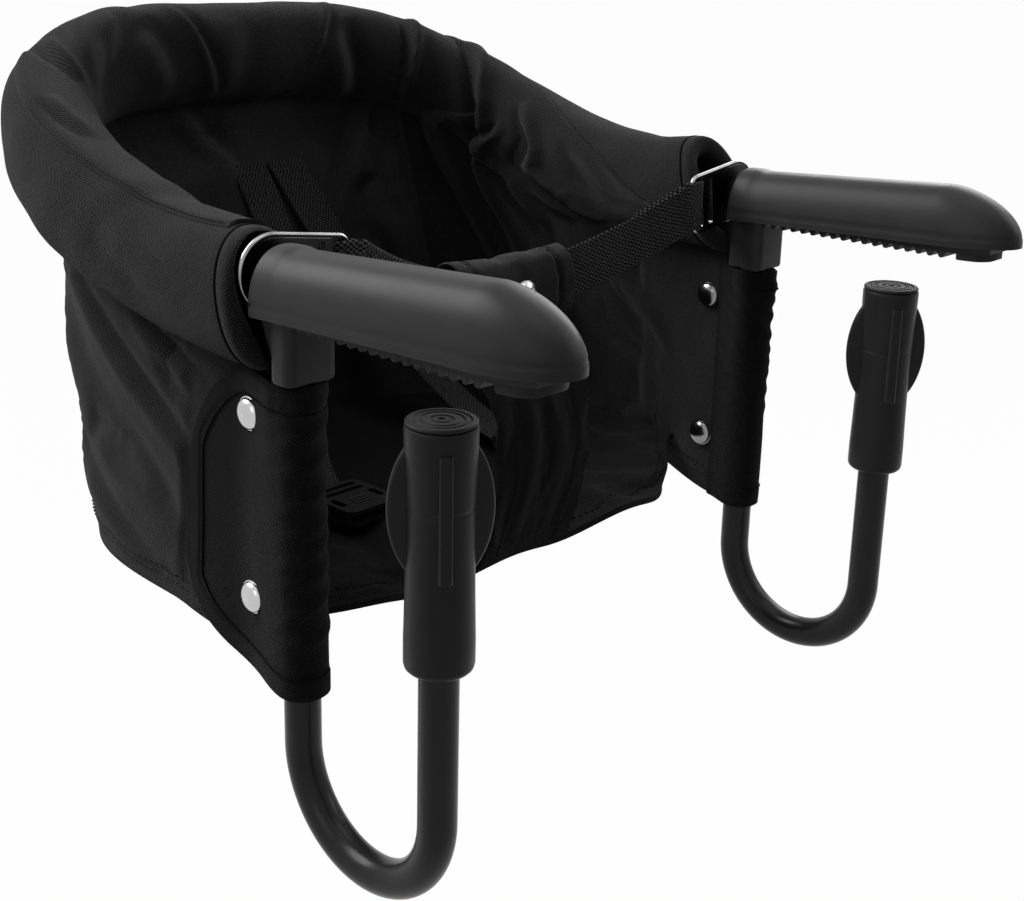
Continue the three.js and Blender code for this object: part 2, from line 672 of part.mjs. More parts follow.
/** J-shaped leg: down from the boss, round the bend and up to the clamp. */
function legTube() {
  const radius = LEG_SPAN / 2;
  const bend = range(0, 180, 180 / BEND_STEP).map((angle) => {
    const y = LEG_SETBACK - radius + radius * Math.cos(radians(angle));
    return point(0, y, -BEND_DEPTH - radius * Math.sin(radians(angle)));
  });
  const path = [point(0, LEG_SETBACK, LEG_TOP), ...bend, point(0, LEG_FRONT_Y, LEG_FRONT_TOP)];
  const bore = rod('y', boreRadius(SCREW_DIAMETER / 2), LEG_SETBACK, BOSS_DEPTH).translate(0, 0, -SCREW_DROP);
  return fromSolid(toSolid(pipe(path, point(1, 0, 0))).subtract(toSolid(bore)));
}

/** Screw from behind the boss into the leg. */
function legScrew() {
  const seat = BOSS_DEPTH + FIT;
  const head = rod('y', SCREW_HEAD_DIAMETER / 2, seat, seat + SCREW_HEAD_HEIGHT);
  const shank = rod('y', SCREW_DIAMETER / 2, seat - SCREW_LENGTH, seat + FIT);
  return fromSolid(toSolid(head).add(toSolid(shank))).translate(0, 0, -SCREW_DROP);
}

/** Threaded cap on the leg's upper end that the sleeve's thread runs on. */
function threadPlug() {
  const outside = THREAD_DIAMETER / 2 - FIT;
  const inside = boreRadius(TUBE_RADIUS);
  const low = THREAD_PLUG_TOP - THREAD_PLUG_LENGTH;
  const profile = [
    [0, LEG_FRONT_TOP + FIT], [inside, LEG_FRONT_TOP + FIT], [inside, low], [outside, low],
    [outside, THREAD_PLUG_TOP - PAD_EDGE], [outside - PAD_EDGE, THREAD_PLUG_TOP], [0, THREAD_PLUG_TOP],
  ];
  return turned(profile, ROUND_SIDES).translate(0, LEG_FRONT_Y, 0);
}

/** Winged sleeve that is turned by hand, about its own axis. */
function clampSleeve(angle) {
  const [radius, waist, stub] = [SLEEVE_DIAMETER / 2, SLEEVE_WAIST / 2, STUB_DIAMETER / 2];
  const bottom = SLEEVE_TOP - SLEEVE_LENGTH;
  const wingCentre = -TABLE_GAP - WING_DROP;
  const wingHalf = WING_HEIGHT / 2;
  const outside = turned([
    [0, bottom], [radius - SLEEVE_ROUND, bottom], [radius - SLEEVE_ROUND / 4, bottom + SLEEVE_ROUND / 2],
    [radius, bottom + SLEEVE_ROUND], [radius, wingCentre - wingHalf], [waist, wingCentre],
    [radius, wingCentre + wingHalf], [radius, SLEEVE_TOP - PAD_EDGE], [radius - PAD_EDGE, SLEEVE_TOP],
    [stub, SLEEVE_TOP], [stub, SLEEVE_TOP + STUB_HEIGHT], [0, SLEEVE_TOP + STUB_HEIGHT],
  ]);
  const guide = boreRadius(TUBE_RADIUS, TURNED_SIDES) + FIT;
  const thread = boreRadius(THREAD_DIAMETER / 2 - FIT, TURNED_SIDES);
  const inside = turned([
    [0, bottom - FIT], [guide, bottom - FIT], [guide, bottom + GUIDE_LENGTH],
    [thread, bottom + GUIDE_LENGTH], [thread, ROOF_UNDERSIDE], [0, ROOF_UNDERSIDE],
  ]);
  const oval = (reach, thickness) => {
    const shape = new THREE.Shape().absellipse(0, wingCentre, reach, wingHalf, 0, 2 * Math.PI);
    return toSolid(alongY(shape, -thickness / 2, thickness, TURNED_SIDES / 2));
  };
  const fin = toSolid(fromSolid(oval(FIN_REACH, FIN_THICKNESS)).rotateZ(Math.PI / 2));
  const body = toSolid(outside).add(oval(WING_WIDTH / 2, WING_THICKNESS)).add(fin);
  return fromSolid(body.subtract(toSolid(inside))).rotateZ(radians(angle));
}

/** Rubber pad that stays still on the table while the sleeve turns under it. */
function clampPad() {
  const radius = SLEEVE_DIAMETER / 2;
  const socket = boreRadius(STUB_DIAMETER / 2, TURNED_SIDES);
  const socketTop = SLEEVE_TOP + STUB_HEIGHT + FIT;
  const top = -TABLE_GAP;
  return turned([
    [0, socketTop], [socket, socketTop], [socket, PAD_BOTTOM], [radius, PAD_BOTTOM], [radius, top - PAD_EDGE],
    [radius - PAD_EDGE, top], [PAD_RING + PAD_GROOVE, top], [PAD_RING, top - PAD_GROOVE],
    [PAD_RING - PAD_GROOVE, top], [0, top],
  ]);
}

// Cloth bucket

/** How far the side wall's foot stands out from the arm's plane at a depth. */
function wallFootHalf(y) {
  const share = clamp01((y - WALL_FRONT) / WALL_WIDENING);
  return lerp(HALF - WALL_PINCH, WALL_HALF, smooth(share));
}

/** Rim axis above the wall at a station: along the straight side, then round the corner to the back. */
function rimAbove(station) {
  const angle = 90 * clamp01((station - SIDE_SHARE) / (1 - SIDE_SHARE));
  const [x, back] = planPoint(angle, HALF - WALL_PINCH, RIM_STRAIGHT, RIM_DEPTH, RIM_SQUARENESS);
  const y = station < SIDE_SHARE ? lerp(WALL_FRONT, RIM_STRAIGHT, station / SIDE_SHARE) : back;
  return point(x, y, rimHeight(y));
}

/** Top edge of the wall, just under the collar. */
function wallTop(station) {
  const ahead = rimAbove(Math.min(station + STATION_STEP, 1));
  const tangent = ahead.sub(rimAbove(station - STATION_STEP)).normalize();
  if (station === 1) tangent.setZ(0);
  const side = point().crossVectors(tangent, point(0, 0, 1)).normalize();
  const rise = point().crossVectors(side, tangent);
  return rimAbove(station).addScaledVector(rise, -COLLAR_BOTTOM - SEAM_GAP - PUCKER_DEPTH);
}

/** Foot of the wall at a station. */
function wallFoot(station) {
  if (station < SIDE_SHARE) {
    const y = lerp(WALL_FRONT, WALL_STRAIGHT, station / SIDE_SHARE);
    return point(-wallFootHalf(y), y, -WALL_BOTTOM);
  }
  const angle = (90 * (station - SIDE_SHARE)) / (1 - SIDE_SHARE);
  return point(...planPoint(angle, WALL_HALF, WALL_STRAIGHT, WALL_DEPTH, WALL_SQUARENESS), -WALL_BOTTOM);
}

/** Middle of the wall at a station, 0 at the front and 1 at the back's middle, and a drop from 0 to 1. */
function wallPoint(station, drop) {
  return wallTop(station).lerp(wallFoot(station), drop);
}

/** Pushes the points of a cloth grid along X and Y by a fold depth that depends on their place. */
function folded(grid, depthAt) {
  const rows = grid.length - 1;
  const columns = grid[0].length - 1;
  return grid.map((row, i) => row.map((p, j) => {
    const push = depthAt(i / rows, j / columns);
    const outwards = point(p.x, p.y - WALL_STRAIGHT, 0).normalize();
    return p.clone().addScaledVector(outwards, push);
  }));
}

const cornerStation = (gap) => SIDE_SHARE + ((1 - SIDE_SHARE) * (CORNER_ANGLE + gap)) / 90;
const SEAM_ANGLE = (90 * SEAM_GAP) / (WALL_DEPTH + WALL_HALF);

/** Side wall with slanting folds behind the flap. */
function sidePanel() {
  const stations = range(0, cornerStation(-SEAM_ANGLE), SIDE_COLUMNS);
  const grid = stations.map((station) => range(0, 1, WALL_ROWS).map((drop) => wallPoint(station, drop)));
  return sheet(folded(grid, (along, drop) => {
    const started = clamp01((along - FOLD_START) / FOLD_START);
    const free = started * (1 - along ** FOLD_FADE_POWER) * Math.sin(Math.PI * drop);
    return FOLD_DEPTH * free * Math.sin(2 * Math.PI * FOLD_COUNT * (along + FOLD_SLANT * drop));
  }), CLOTH);
}

/** Back wall, padded to a soft crown towards the child. */
function backPanel() {
  const half = range(cornerStation(SEAM_ANGLE), 1, BACK_COLUMNS);
  const left = half.map((station) => range(0, 1, WALL_ROWS).map((drop) => wallPoint(station, drop)));
  const right = left.slice(0, -1).reverse().map((row) => row.map((p) => point(-p.x, p.y, p.z)));
  const grid = folded([...left, ...right], (along, drop) => {
    return -BACK_CROWN * Math.sin(Math.PI * along) * Math.sin(Math.PI * drop);
  });
  return sheet(grid, CLOTH);
}

/** Height of the base cloth at a place. */
function baseHeight(x, y) {
  const across = clamp01(Math.abs(x) / WALL_HALF);
  const along = clamp01((y - BASE_FRONT) / (WALL_DEPTH - BASE_FRONT));
  return -BASE_HEIGHT - BASE_SAG * (1 - across ** 2) * Math.sin(Math.PI * along);
}

/** Half width of the base at a depth, inside the walls. */
function baseHalf(y) {
  if (y < WALL_FRONT) return BASE_FRONT_HALF;
  if (y < WALL_STRAIGHT) {
    const eased = clamp01((y - WALL_FRONT) / BASE_EASE);
    return wallFootHalf(y) - lerp(HALF - BASE_FRONT_HALF, BASE_INSET, eased);
  }
  const share = (y - WALL_STRAIGHT) / (WALL_DEPTH - BASE_INSET - WALL_STRAIGHT);
  return (WALL_HALF - BASE_INSET) * (1 - clamp01(share) ** WALL_SQUARENESS) ** (1 / WALL_SQUARENESS);
}

/** Base cloth slung between the foot of the walls. */
function seatBase() {
  const back = WALL_DEPTH - 2 * BASE_INSET;
  const depths = [BASE_FRONT, WALL_FRONT, ...range(WALL_FRONT + BASE_EASE, WALL_STRAIGHT, BASE_FRONT_ROWS)];
  const rear = range(WALL_STRAIGHT, back, BASE_REAR_ROWS).slice(1);
  const grid = [...depths, ...rear].map((y) => {
    return range(-baseHalf(y), baseHalf(y), BASE_COLUMNS).map((x) => point(x, y, baseHeight(x, y)));
  });
  return sheet(grid, CLOTH);
}

// Flap and snaps, built round x = 0 with +x inwards

/** Outer face of the side wall at a depth and height, as a distance outside the arm's plane. */
function wallOutside(y, z) {
  const top = RIM_HEIGHT - COLLAR_BOTTOM;
  const drop = clamp01((top - z) / (top + WALL_BOTTOM));
  return lerp(HALF - WALL_PINCH, wallFootHalf(y), drop) - HALF + CLOTH / 2;
}

/** Plan of the flap: from the inner seam round the leg's front to its free back edge. */
function flapPlan() {
  const radius = TUBE_RADIUS + FLAP_CLEARANCE + FLAP_CLOTH / 2;
  const turn = 180 + 2 * FLAP_WRAP;
  const arc = range(FLAP_WRAP, FLAP_WRAP - turn, Math.round(turn / FLAP_ARC_STEP)).map((angle) => {
    return [radius * Math.cos(radians(angle)), LEG_SETBACK + radius * Math.sin(radians(angle))];
  });
  const outer = range(SNAP_Y - SNAP_DIAMETER / 2 - FIT, FLAP_BACK, FLAP_BACK_COLUMNS).map((y) => [null, y]);
  return [...arc, ...outer];
}

/** How much a round corner takes off the flap's free back edge at a depth. */
function cornerCut(y, corner) {
  const rounding = clamp01((y - FLAP_BACK + corner) / corner);
  return corner * (1 - Math.sqrt(1 - rounding ** 2));
}

/** Cloth flap that wraps the leg and snaps on to the side wall. */
function legFlap() {
  const plan = flapPlan();
  const grid = plan.map(([x, y]) => {
    const behind = clamp01((y - LEG_SETBACK) / (FLAP_BACK - LEG_SETBACK));
    const isOuter = x === null || x < 0;
    const lift = isOuter ? FLAP_BACK_RISE * behind + cornerCut(y, FLAP_FOOT_CORNER) : 0;
    const top = -FLAP_TOP - (isOuter ? cornerCut(y, FLAP_CORNER) : 0);
    return range(top, -FLAP_BOTTOM + lift, FLAP_ROWS).map((z) => {
      const lying = -wallOutside(y, z) - SEAM_GAP - FLAP_CLOTH / 2;
      return point(x === null ? lying : x, y, z);
    });
  });
  return sheet(grid, FLAP_CLOTH);
}

/** Domed snap cap standing on Z = 0. */
function snapDome() {
  const radius = SNAP_DIAMETER / 2;
  const dome = range(0, SNAP_DOME_ANGLE, SNAP_DOME_STEPS).map(radians).map((angle) => {
    return [radius * Math.cos(angle), SNAP_RIM + (SNAP_HEIGHT - SNAP_RIM) * Math.sin(angle)];
  });
  return turned([[0, 0], [radius, 0], ...dome, [0, SNAP_HEIGHT]], SNAP_SIDES);
}

/** Snap cap with its back face on a plane of constant X; sign is its outward direction. */
function snapCap(faceX, height, sign) {
  return snapDome().rotateY((sign * Math.PI) / 2).translate(faceX, SNAP_Y, height);
}

/** Outer faces of the side wall at the front and the back of a snap cap. */
function wallUnderSnap(height) {
  return [-1, 1].map((end) => wallOutside(SNAP_Y + (end * SNAP_DIAMETER) / 2, height));
}

/** Cap on the flap's outer face. */
function flapSnap(height) {
  return snapCap(-Math.max(...wallUnderSnap(height)) - SEAM_GAP - FLAP_CLOTH - FIT, height, -1);
}

/** Cap on the side wall's inner face. */
function wallSnap(height) {
  return snapCap(CLOTH - Math.min(...wallUnderSnap(height)) + FIT, height, 1);
}

// Harness

/** Stamped steel plate: an eye on the rim and a tab with two slots for the belt; +x inwards. */
function strapPlate() {
  const tabCentre = [PLATE_REACH / 2, 0];
  const eye = new THREE.Shape().absarc(0, 0, PLATE_EYE_DIAMETER / 2, 0, 2 * Math.PI);
  const tab = roundedRectangle(PLATE_REACH, PLATE_HEIGHT, PLATE_CORNER, tabCentre);
  const outerSlot = PLATE_REACH - SLOT_EDGE - SLOT_WIDTH / 2;
  const slots = [outerSlot, outerSlot - SLOT_SPACING].map((x) => {
    const slot = roundedRectangle(SLOT_WIDTH, SLOT_LENGTH, SLOT_WIDTH / 3, [x, 0]);
    return alongY(slot, -CUT_THROUGH, 2 * CUT_THROUGH);
  });
  const bore = rod('y', boreRadius(TUBE_RADIUS), -CUT_THROUGH, CUT_THROUGH);
  const blank = toSolid(alongY(eye, 0, PLATE_THICKNESS, ROUND_SIDES))
    .add(toSolid(alongY(tab, 0, PLATE_THICKNESS)));
  const plate = [bore, ...slots].reduce((solid, cut) => solid.subtract(toSolid(cut)), blank);
  return fromSolid(plate).translate(0, PLATE_Y, RIM_HEIGHT);
}

/** Point of the hanging belt: -1 and 1 at the plates, 0 in the middle. */
function beltPoint(share) {
  const hang = share ** 2;
  return point(BELT_HALF * share, lerp(BELT_BACK, BELT_FRONT, hang), lerp(BELT_LOW, RIM_HEIGHT, hang));
}

/** Middle line of the belt from one plate, through the crotch sleeve, to the other. */
function beltPath() {
  const end = point(HALF - PLATE_REACH + SLOT_EDGE, BELT_FRONT, RIM_HEIGHT);
  const hanging = range(-1, 1, BELT_STEPS).map(beltPoint);
  return [point(-end.x, end.y, end.z), ...hanging, end];
}

/** Padded sleeve that the belt runs through. */
function crotchSleeve() {
  const end = CROTCH_SLEEVE_LENGTH / 2 / BELT_HALF;
  const path = range(-end, end, CROTCH_SLEEVE_STEPS).map(beltPoint);
  const outer = ringsAlong(path, point(0, 0, 1), CROTCH_SLEEVE_POINTS, (share) => {
    return softBox(share, CROTCH_SLEEVE_DEPTH / 2, CROTCH_SLEEVE_HEIGHT / 2, CROTCH_SLEEVE_POWER);
  });
  const slotDepth = WEBBING_THICKNESS / 2 + 3 * FIT;
  const inner = ringsAlong(path, point(0, 0, 1), CROTCH_SLEEVE_POINTS, (share) => {
    return softBox(share, slotDepth, WEBBING_WIDTH / 2 + 2 * FIT, BELT_SLOT_POWER);
  });
  return hollowLoft(outer, inner);
}

/** Cloth panel from the front of the base up to the crotch sleeve. */
function crotchPanel() {
  const topZ = BELT_LOW - CROTCH_SLEEVE_HEIGHT / 2 - SEAM_GAP - CLOTH / 3;
  const footY = BASE_FRONT - CLOTH / 2 - SEAM_GAP;
  const footZ = -BASE_HEIGHT;
  const grid = range(0, 1, CROTCH_ROWS).map((rise) => {
    const width = lerp(CROTCH_PANEL_WIDTH, CROTCH_PANEL_TOP_WIDTH, rise ** CROTCH_FLARE_POWER);
    const lean = -CROTCH_LEAN * (1 - rise) ** 2;
    const y = lerp(footY, BELT_BACK, rise ** 2) - CROTCH_BELLY * Math.sin(Math.PI * rise);
    const z = lerp(footZ, topZ, rise);
    return range(-width / 2, width / 2, CROTCH_COLUMNS).map((x) => point(lean + x, y, z));
  });
  return sheet(grid, CLOTH);
}

/** Snap on the front of the crotch sleeve. */
function crotchSnap() {
  const front = BELT_BACK - CROTCH_SLEEVE_DEPTH / 2 - FIT;
  return snapDome().rotateX(Math.PI / 2).translate(0, front, BELT_LOW);
}

/** Inner face of the back wall at its middle, as a depth, for a height. */
function backInside(z) {
  const top = wallPoint(1, 0);
  const foot = wallPoint(1, 1);
  const drop = clamp01((top.z - z) / (top.z - foot.z));
  return lerp(top.y, foot.y, drop) - BACK_CROWN * Math.sin(Math.PI * drop) - CLOTH / 2;
}

/** Height at which a buckle half rests on the base, from the highest of its corners. */
function buckleFloor(x) {
  const heights = [-1, 1].flatMap((across) => [-1, 1].map((along) => {
    return baseHeight(x + (across * BUCKLE_WIDTH) / 2, BUCKLE_Y + (along * BUCKLE_LENGTH) / 2);
  }));
  return Math.max(...heights) + CLOTH / 2 + BUCKLE_LIFT;
}

/** Shoulder strap hanging freely from the back wall down to its buckle half on the base. */
function shoulderStrap(startX, endX) {
  const stand = SHOULDER_GAP + WEBBING_THICKNESS / 2;
  const top = point(startX, backInside(SHOULDER_ANCHOR) - stand, SHOULDER_ANCHOR);
  const end = point(endX, SHOULDER_END_Y, buckleFloor(endX) + BUCKLE_HEIGHT / 2);
  const slack = top.clone().lerp(end, SHOULDER_SLACK_SHARE);
  slack.z -= SHOULDER_SLACK;
  const lying = end.clone().setY(SHOULDER_END_Y + SHOULDER_LYING);
  const curve = new THREE.CubicBezierCurve3(top, slack, lying, end);
  return band(curve.getPoints(SHOULDER_STEPS), point(1, 0, 0));
}

/** Half of the harness buckle, lying on the base in front of its strap. */
function buckleHalf(x, isSocket) {
  const body = roundedRectangle(BUCKLE_WIDTH, BUCKLE_LENGTH, BUCKLE_ROUND);
  const slotY = BUCKLE_LENGTH / 2 - 2 * SLOT_WIDTH;
  const slot = roundedRectangle(WEBBING_WIDTH + 2 * FIT, SLOT_WIDTH, FIT, [0, slotY]);
  const mouthWidth = BUCKLE_WIDTH - 2 * BUCKLE_ROUND;
  const mouth = roundedRectangle(mouthWidth, BUCKLE_LENGTH, FIT, [0, -BUCKLE_LENGTH / 2]);
  const cutLow = isSocket ? BUCKLE_SHELL : -FIT;
  const cutHigh = isSocket ? BUCKLE_HEIGHT - BUCKLE_SHELL : BUCKLE_HEIGHT + FIT;
  const solid = toSolid(raised(body, 0, BUCKLE_HEIGHT))
    .subtract(toSolid(raised(slot, -FIT, BUCKLE_HEIGHT + FIT)))
    .subtract(toSolid(raised(mouth, cutLow, cutHigh)));
  return fromSolid(solid).translate(x, BUCKLE_Y, buckleFloor(x));
}

// Assembly

const seat = new THREE.Group();

/** Adds a named piece to a group. */
function add(group, name, geometry, finish) {
  const flat = geometry.index ? geometry.toNonIndexed() : geometry;
  flat.computeVertexNormals();
  const mesh = new THREE.Mesh(flat, new THREE.MeshStandardMaterial(MATERIALS[finish]));
  mesh.name = name;
  group.add(mesh);
}

const arms = { left: new THREE.Group(), right: new THREE.Group() };
arms.left.position.x = -HALF;
arms.right.position.x = HALF;
seat.add(arms.left, arms.right);

/** Adds a left piece and its mirror image, both built round the arm's plane. */
function addPair(name, geometry, finish) {
  add(arms.left, `left_${name}`, geometry, finish);
  add(arms.right, `right_${name}`, mirrored(geometry), finish);
}

add(seat, 'rim_tube', rimTube(), 'steel');
add(seat, 'rim_collar', rimCollar(), 'cloth');
add(seat, 'back_panel', backPanel(), 'cloth');
add(seat, 'left_side_panel', sidePanel(), 'cloth');
add(seat, 'right_side_panel', mirrored(sidePanel()), 'cloth');
add(seat, 'seat_base', seatBase(), 'cloth');
add(seat, 'crotch_panel', crotchPanel(), 'cloth');
add(seat, 'crotch_sleeve', crotchSleeve(), 'cloth');
add(seat, 'crotch_snap', crotchSnap(), 'bright');
add(seat, 'waist_strap', band(beltPath(), point(0, 0, 1)), 'webbing');
add(seat, 'left_shoulder_strap', shoulderStrap(-SHOULDER_SPREAD, -BUCKLE_X), 'webbing');
add(seat, 'right_shoulder_strap', shoulderStrap(SHOULDER_SPREAD, TONGUE_X), 'webbing');
add(seat, 'buckle_socket', buckleHalf(-BUCKLE_X, true), 'plastic');
add(seat, 'buckle_tongue', buckleHalf(TONGUE_X, false), 'plastic');

addPair('rim_plug', rimPlug(), 'inner');
addPair('strap_plate', strapPlate(), 'plate');
addPair('upper_wall_snap', wallSnap(-SNAP_UPPER), 'bright');
addPair('lower_wall_snap', wallSnap(-SNAP_LOWER), 'bright');
addPair('arm_joint', armJoint(), 'inner');
addPair('arm_shell', armShell(), 'plastic');
addPair('grip_pad', gripPad(), 'rubber');
addPair('leg_tube', legTube(), 'steel');
addPair('leg_screw', legScrew(), 'plate');
addPair('thread_plug', threadPlug(), 'inner');
addPair('leg_flap', legFlap(), 'cloth');
addPair('upper_flap_snap', flapSnap(-SNAP_UPPER), 'bright');
addPair('lower_flap_snap', flapSnap(-SNAP_LOWER), 'bright');

Object.entries({ left: LEFT_WING_ANGLE, right: RIGHT_WING_ANGLE }).forEach(([side, angle]) => {
  const clampGroup = new THREE.Group();
  clampGroup.position.y = LEG_FRONT_Y;
  arms[side].add(clampGroup);
  add(clampGroup, `${side}_clamp_sleeve`, clampSleeve(-angle), 'plastic');
  add(clampGroup, `${side}_clamp_pad`, clampPad(), 'rubber');
});

export default seat;
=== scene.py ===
"""Looks of a clamp-on table seat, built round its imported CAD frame.

A padded roll of cloth on a bent rim carries a cloth bucket. Two toothed arms lie on the table, and a winged
sleeve on each J-shaped leg is screwed up against it from below. Metres, +Z up, X = 0 in the middle, Y = 0 at
the table's edge and Z = 0 at its top; the arms point to -Y.
"""

import logging
import math
from dataclasses import dataclass
from enum import Enum
from functools import reduce
from itertools import product
from typing import Sequence

import bmesh
import bpy
import numpy as np
from mathutils import Matrix, Vector


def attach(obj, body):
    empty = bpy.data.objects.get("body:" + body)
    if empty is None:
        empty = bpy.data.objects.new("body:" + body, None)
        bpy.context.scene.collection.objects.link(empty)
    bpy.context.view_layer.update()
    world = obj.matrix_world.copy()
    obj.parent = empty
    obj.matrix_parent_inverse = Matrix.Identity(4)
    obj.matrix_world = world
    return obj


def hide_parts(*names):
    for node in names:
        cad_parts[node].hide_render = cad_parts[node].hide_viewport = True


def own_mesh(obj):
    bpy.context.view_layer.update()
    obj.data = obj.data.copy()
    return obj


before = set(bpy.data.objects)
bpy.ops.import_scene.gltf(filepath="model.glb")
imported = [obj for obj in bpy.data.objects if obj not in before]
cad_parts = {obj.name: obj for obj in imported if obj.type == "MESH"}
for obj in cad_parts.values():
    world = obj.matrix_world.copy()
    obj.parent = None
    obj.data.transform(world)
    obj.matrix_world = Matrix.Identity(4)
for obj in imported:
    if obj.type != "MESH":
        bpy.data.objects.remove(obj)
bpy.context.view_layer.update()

UP = (0.0, 0.0, 1.0)
ACROSS = (1.0, 0.0, 0.0)
MIRROR = np.array([-1.0, 1.0, 1.0])
SEAT = "seat"
METRES_LAYER = "cloth_metres"
Array = np.ndarray
Colour = tuple[float, float, float]
Place = tuple[float, float]
Piece = bpy.types.Object
Material = bpy.types.Material
Socket = bpy.types.NodeSocket

logging.basicConfig(level=logging.INFO, format="%(message)s")
LOG = logging.getLogger("seat")


class Side(Enum):
    """The two mirrored sides; the value is the sign of X."""

    LEFT = -1
    RIGHT = 1

    @property
    def word(self) -> str:
        """The side's name as it begins a node's name."""
        return self.name.lower()


class Body(Enum):
    """CAD bodies that one side's moving pieces ride on."""

    ARM = "arm"
    PAD = "pad"
    SLEEVE = "sleeve"

    def of(self, side: Side) -> str:
        """The body's name in the frame on one side."""
        return f"{side.word}_{self.value}"


# Numbers and paths


def clamp01(value: Array | float) -> Array:
    """The numbers held between 0 and 1."""
    return np.clip(value, 0.0, 1.0)


def lerp(start: Array | float, end: Array | float, share: Array | float) -> Array | float:
    """The value at a share of the way from start to end."""
    return start + (end - start) * share


def smooth(share: Array | float) -> Array:
    """A ramp from 0 to 1 that is level at both ends."""
    held = clamp01(share)
    return held * held * (3 - 2 * held)


def most(values: Sequence[Array]) -> Array:
    """The highest value at each place."""
    return reduce(np.maximum, values)


def bump(distance: Array, width: float) -> Array:
    """1 on a line, fading to 0 on both sides of it."""
    return np.exp(-((distance / width) ** 2))


def soft_box(angle: Array, half_a: Array | float, half_b: Array | float, power: float) -> tuple[Array, Array]:
    """Outline of a box whose corners are rounded like a squared ellipse's.

    Args:
        angle: Angles round the outline, in radians.
        half_a: Half size along the first direction.
        half_b: Half size along the second direction.
        power: 2 for an ellipse, more for squarer corners.

    Returns:
        Both coordinates of a rounded box outline.
    """
    c, s = np.cos(angle), np.sin(angle)
    radius = (np.abs(c) ** power + np.abs(s) ** power) ** (-1 / power)
    return half_a * radius * c, half_b * radius * s


def unit(vectors: Array) -> Array:
    """The same vectors with length 1."""
    return vectors / np.maximum(np.linalg.norm(vectors, axis=-1, keepdims=True), 1e-12)


def full_turn(count: int) -> Array:
    """Angles of evenly spaced places round a circle."""
    return np.linspace(0, 2 * math.pi, count, endpoint=False)


def gaps(points: Array, axis: int = 0) -> Array:
    """Distances from each point to the next along one axis of a line or a sheet."""
    return np.linalg.norm(np.diff(points, axis=axis), axis=-1)


def reached(distances: Array) -> Array:
    """How far each point is from the first, from the distances between them."""
    return np.concatenate([[0.0], np.cumsum(distances)])


def laid_flat(grid: Array) -> tuple[Array, Array]:
    """Places of a sheet's rows and of its columns as if it lay flat."""
    return reached(gaps(grid).mean(axis=1))[:, None], reached(gaps(grid, 1).mean(axis=0))[None, :]


def evenly(path: Array, count: int) -> Array:
    """Spaces a line's points evenly.

    Args:
        path: Points of a line.
        count: Number of points wanted.

    Returns:
        The line again, with evenly spaced points.
    """
    along = reached(gaps(path))
    wanted = np.linspace(0.0, along[-1], count)
    return np.stack([np.interp(wanted, along, path[:, k]) for k in range(path.shape[1])], axis=1)


def frames_along(path: Array, up: Sequence[float]) -> tuple[Array, Array, Array]:
    """Directions that travel along a line.

    Args:
        path: Points of a line.
        up: A direction that the line never follows.

    Returns:
        The tangent, the side direction and the rise direction at each point.
    """
    tangent = unit(np.gradient(path, axis=0))
    side = unit(np.cross(tangent, np.asarray(up, float)))
    return tangent, side, np.cross(side, tangent)


def swept(path: Array, up: Sequence[float], across: Array, height: Array) -> Array:
    """Carries a section along a line.

    Args:
        path: Points of a line, one for each ring.
        up: A direction that the line never follows.
        across: Side offsets, one ring or one for each point.
        height: Rise offsets in the same form.

    Returns:
        A grid of points, rings by places round the ring.
    """
    _, side, rise = frames_along(path, up)
    across, height = np.broadcast_arrays(np.atleast_2d(across), np.atleast_2d(height))
    return path[:, None] + across[..., None] * side[:, None] + height[..., None] * rise[:, None]


def bent(start: Array, slack: Array, ease: Array, end: Array, t: Array) -> Array:
    """Points at shares t of a curve that leaves start towards slack and reaches end from ease."""
    return (1 - t) ** 3 * start + 3 * (1 - t) ** 2 * t * slack + 3 * (1 - t) * t ** 2 * ease + t ** 3 * end


def lumps(points: Array, size: float, seed: int) -> Array:
    """Smooth noise with the same values on every run.

    Args:
        points: Places to look up.
        size: Distance between one lump and the next.
        seed: Chooses another pattern.

    Returns:
        Smooth random heights from -1 to 1.
    """
    cell = np.asarray(points, float) / size + 11.7 * seed
    base = np.floor(cell).astype(np.int64)
    share = cell - base
    share = share ** 3 * (share * (share * 6 - 15) + 10)
    total = np.zeros(share.shape[:-1])
    for corner in product((0, 1), repeat=3):
        c = base + np.array(corner)
        mixed = (c[..., 0] * 73856093) ^ (c[..., 1] * 19349663) ^ (c[..., 2] * 83492791) ^ (seed * 2654435)
        mixed = (mixed * 1103515245 + 12345) & 0x7FFFFFFF
        weight = np.prod(np.where(np.array(corner) == 1, share, 1 - share), axis=-1)
        total += weight * (((mixed >> 8) & 0xFFFF) / 32767.5 - 1)
    return total


def sheet_normals(grid: Array) -> Array:
    """The sheet's normal at each point."""
    return unit(np.cross(np.gradient(grid, axis=0), np.gradient(grid, axis=1)))


@dataclass(frozen=True)
class Crease:
    """A fold in cloth along a straight line drawn on the flat panel."""

    start: Place
    end: Place
    depth: float
    width: float

    def height(self, along: Array, down: Array) -> Array:
        """Height of the fold over the panel.

        Args:
            along: Distance along the panel.
            down: Distance down the panel.

        Returns:
            The fold's height: a valley with a ridge beside it, fading at both ends.
        """
        run = np.subtract(self.end, self.start)
        length = float(np.hypot(*run))
        u, v = along - self.start[0], down - self.start[1]
        share = (u * run[0] + v * run[1]) / length ** 2
        beside = (v * run[0] - u * run[1]) / length
        fade = np.sin(math.pi * clamp01(share)) ** 0.7
        fold = 0.8 * bump(beside + 1.5 * self.width, 1.3 * self.width) - bump(beside, self.width)
        return self.depth * fade * fold


def creased(creases: Sequence[Crease], along: Array, down: Array) -> Array:
    """Height of a panel's folds together, at distances along and down it."""
    return sum(crease.height(along, down) for crease in creases)


# Meshes


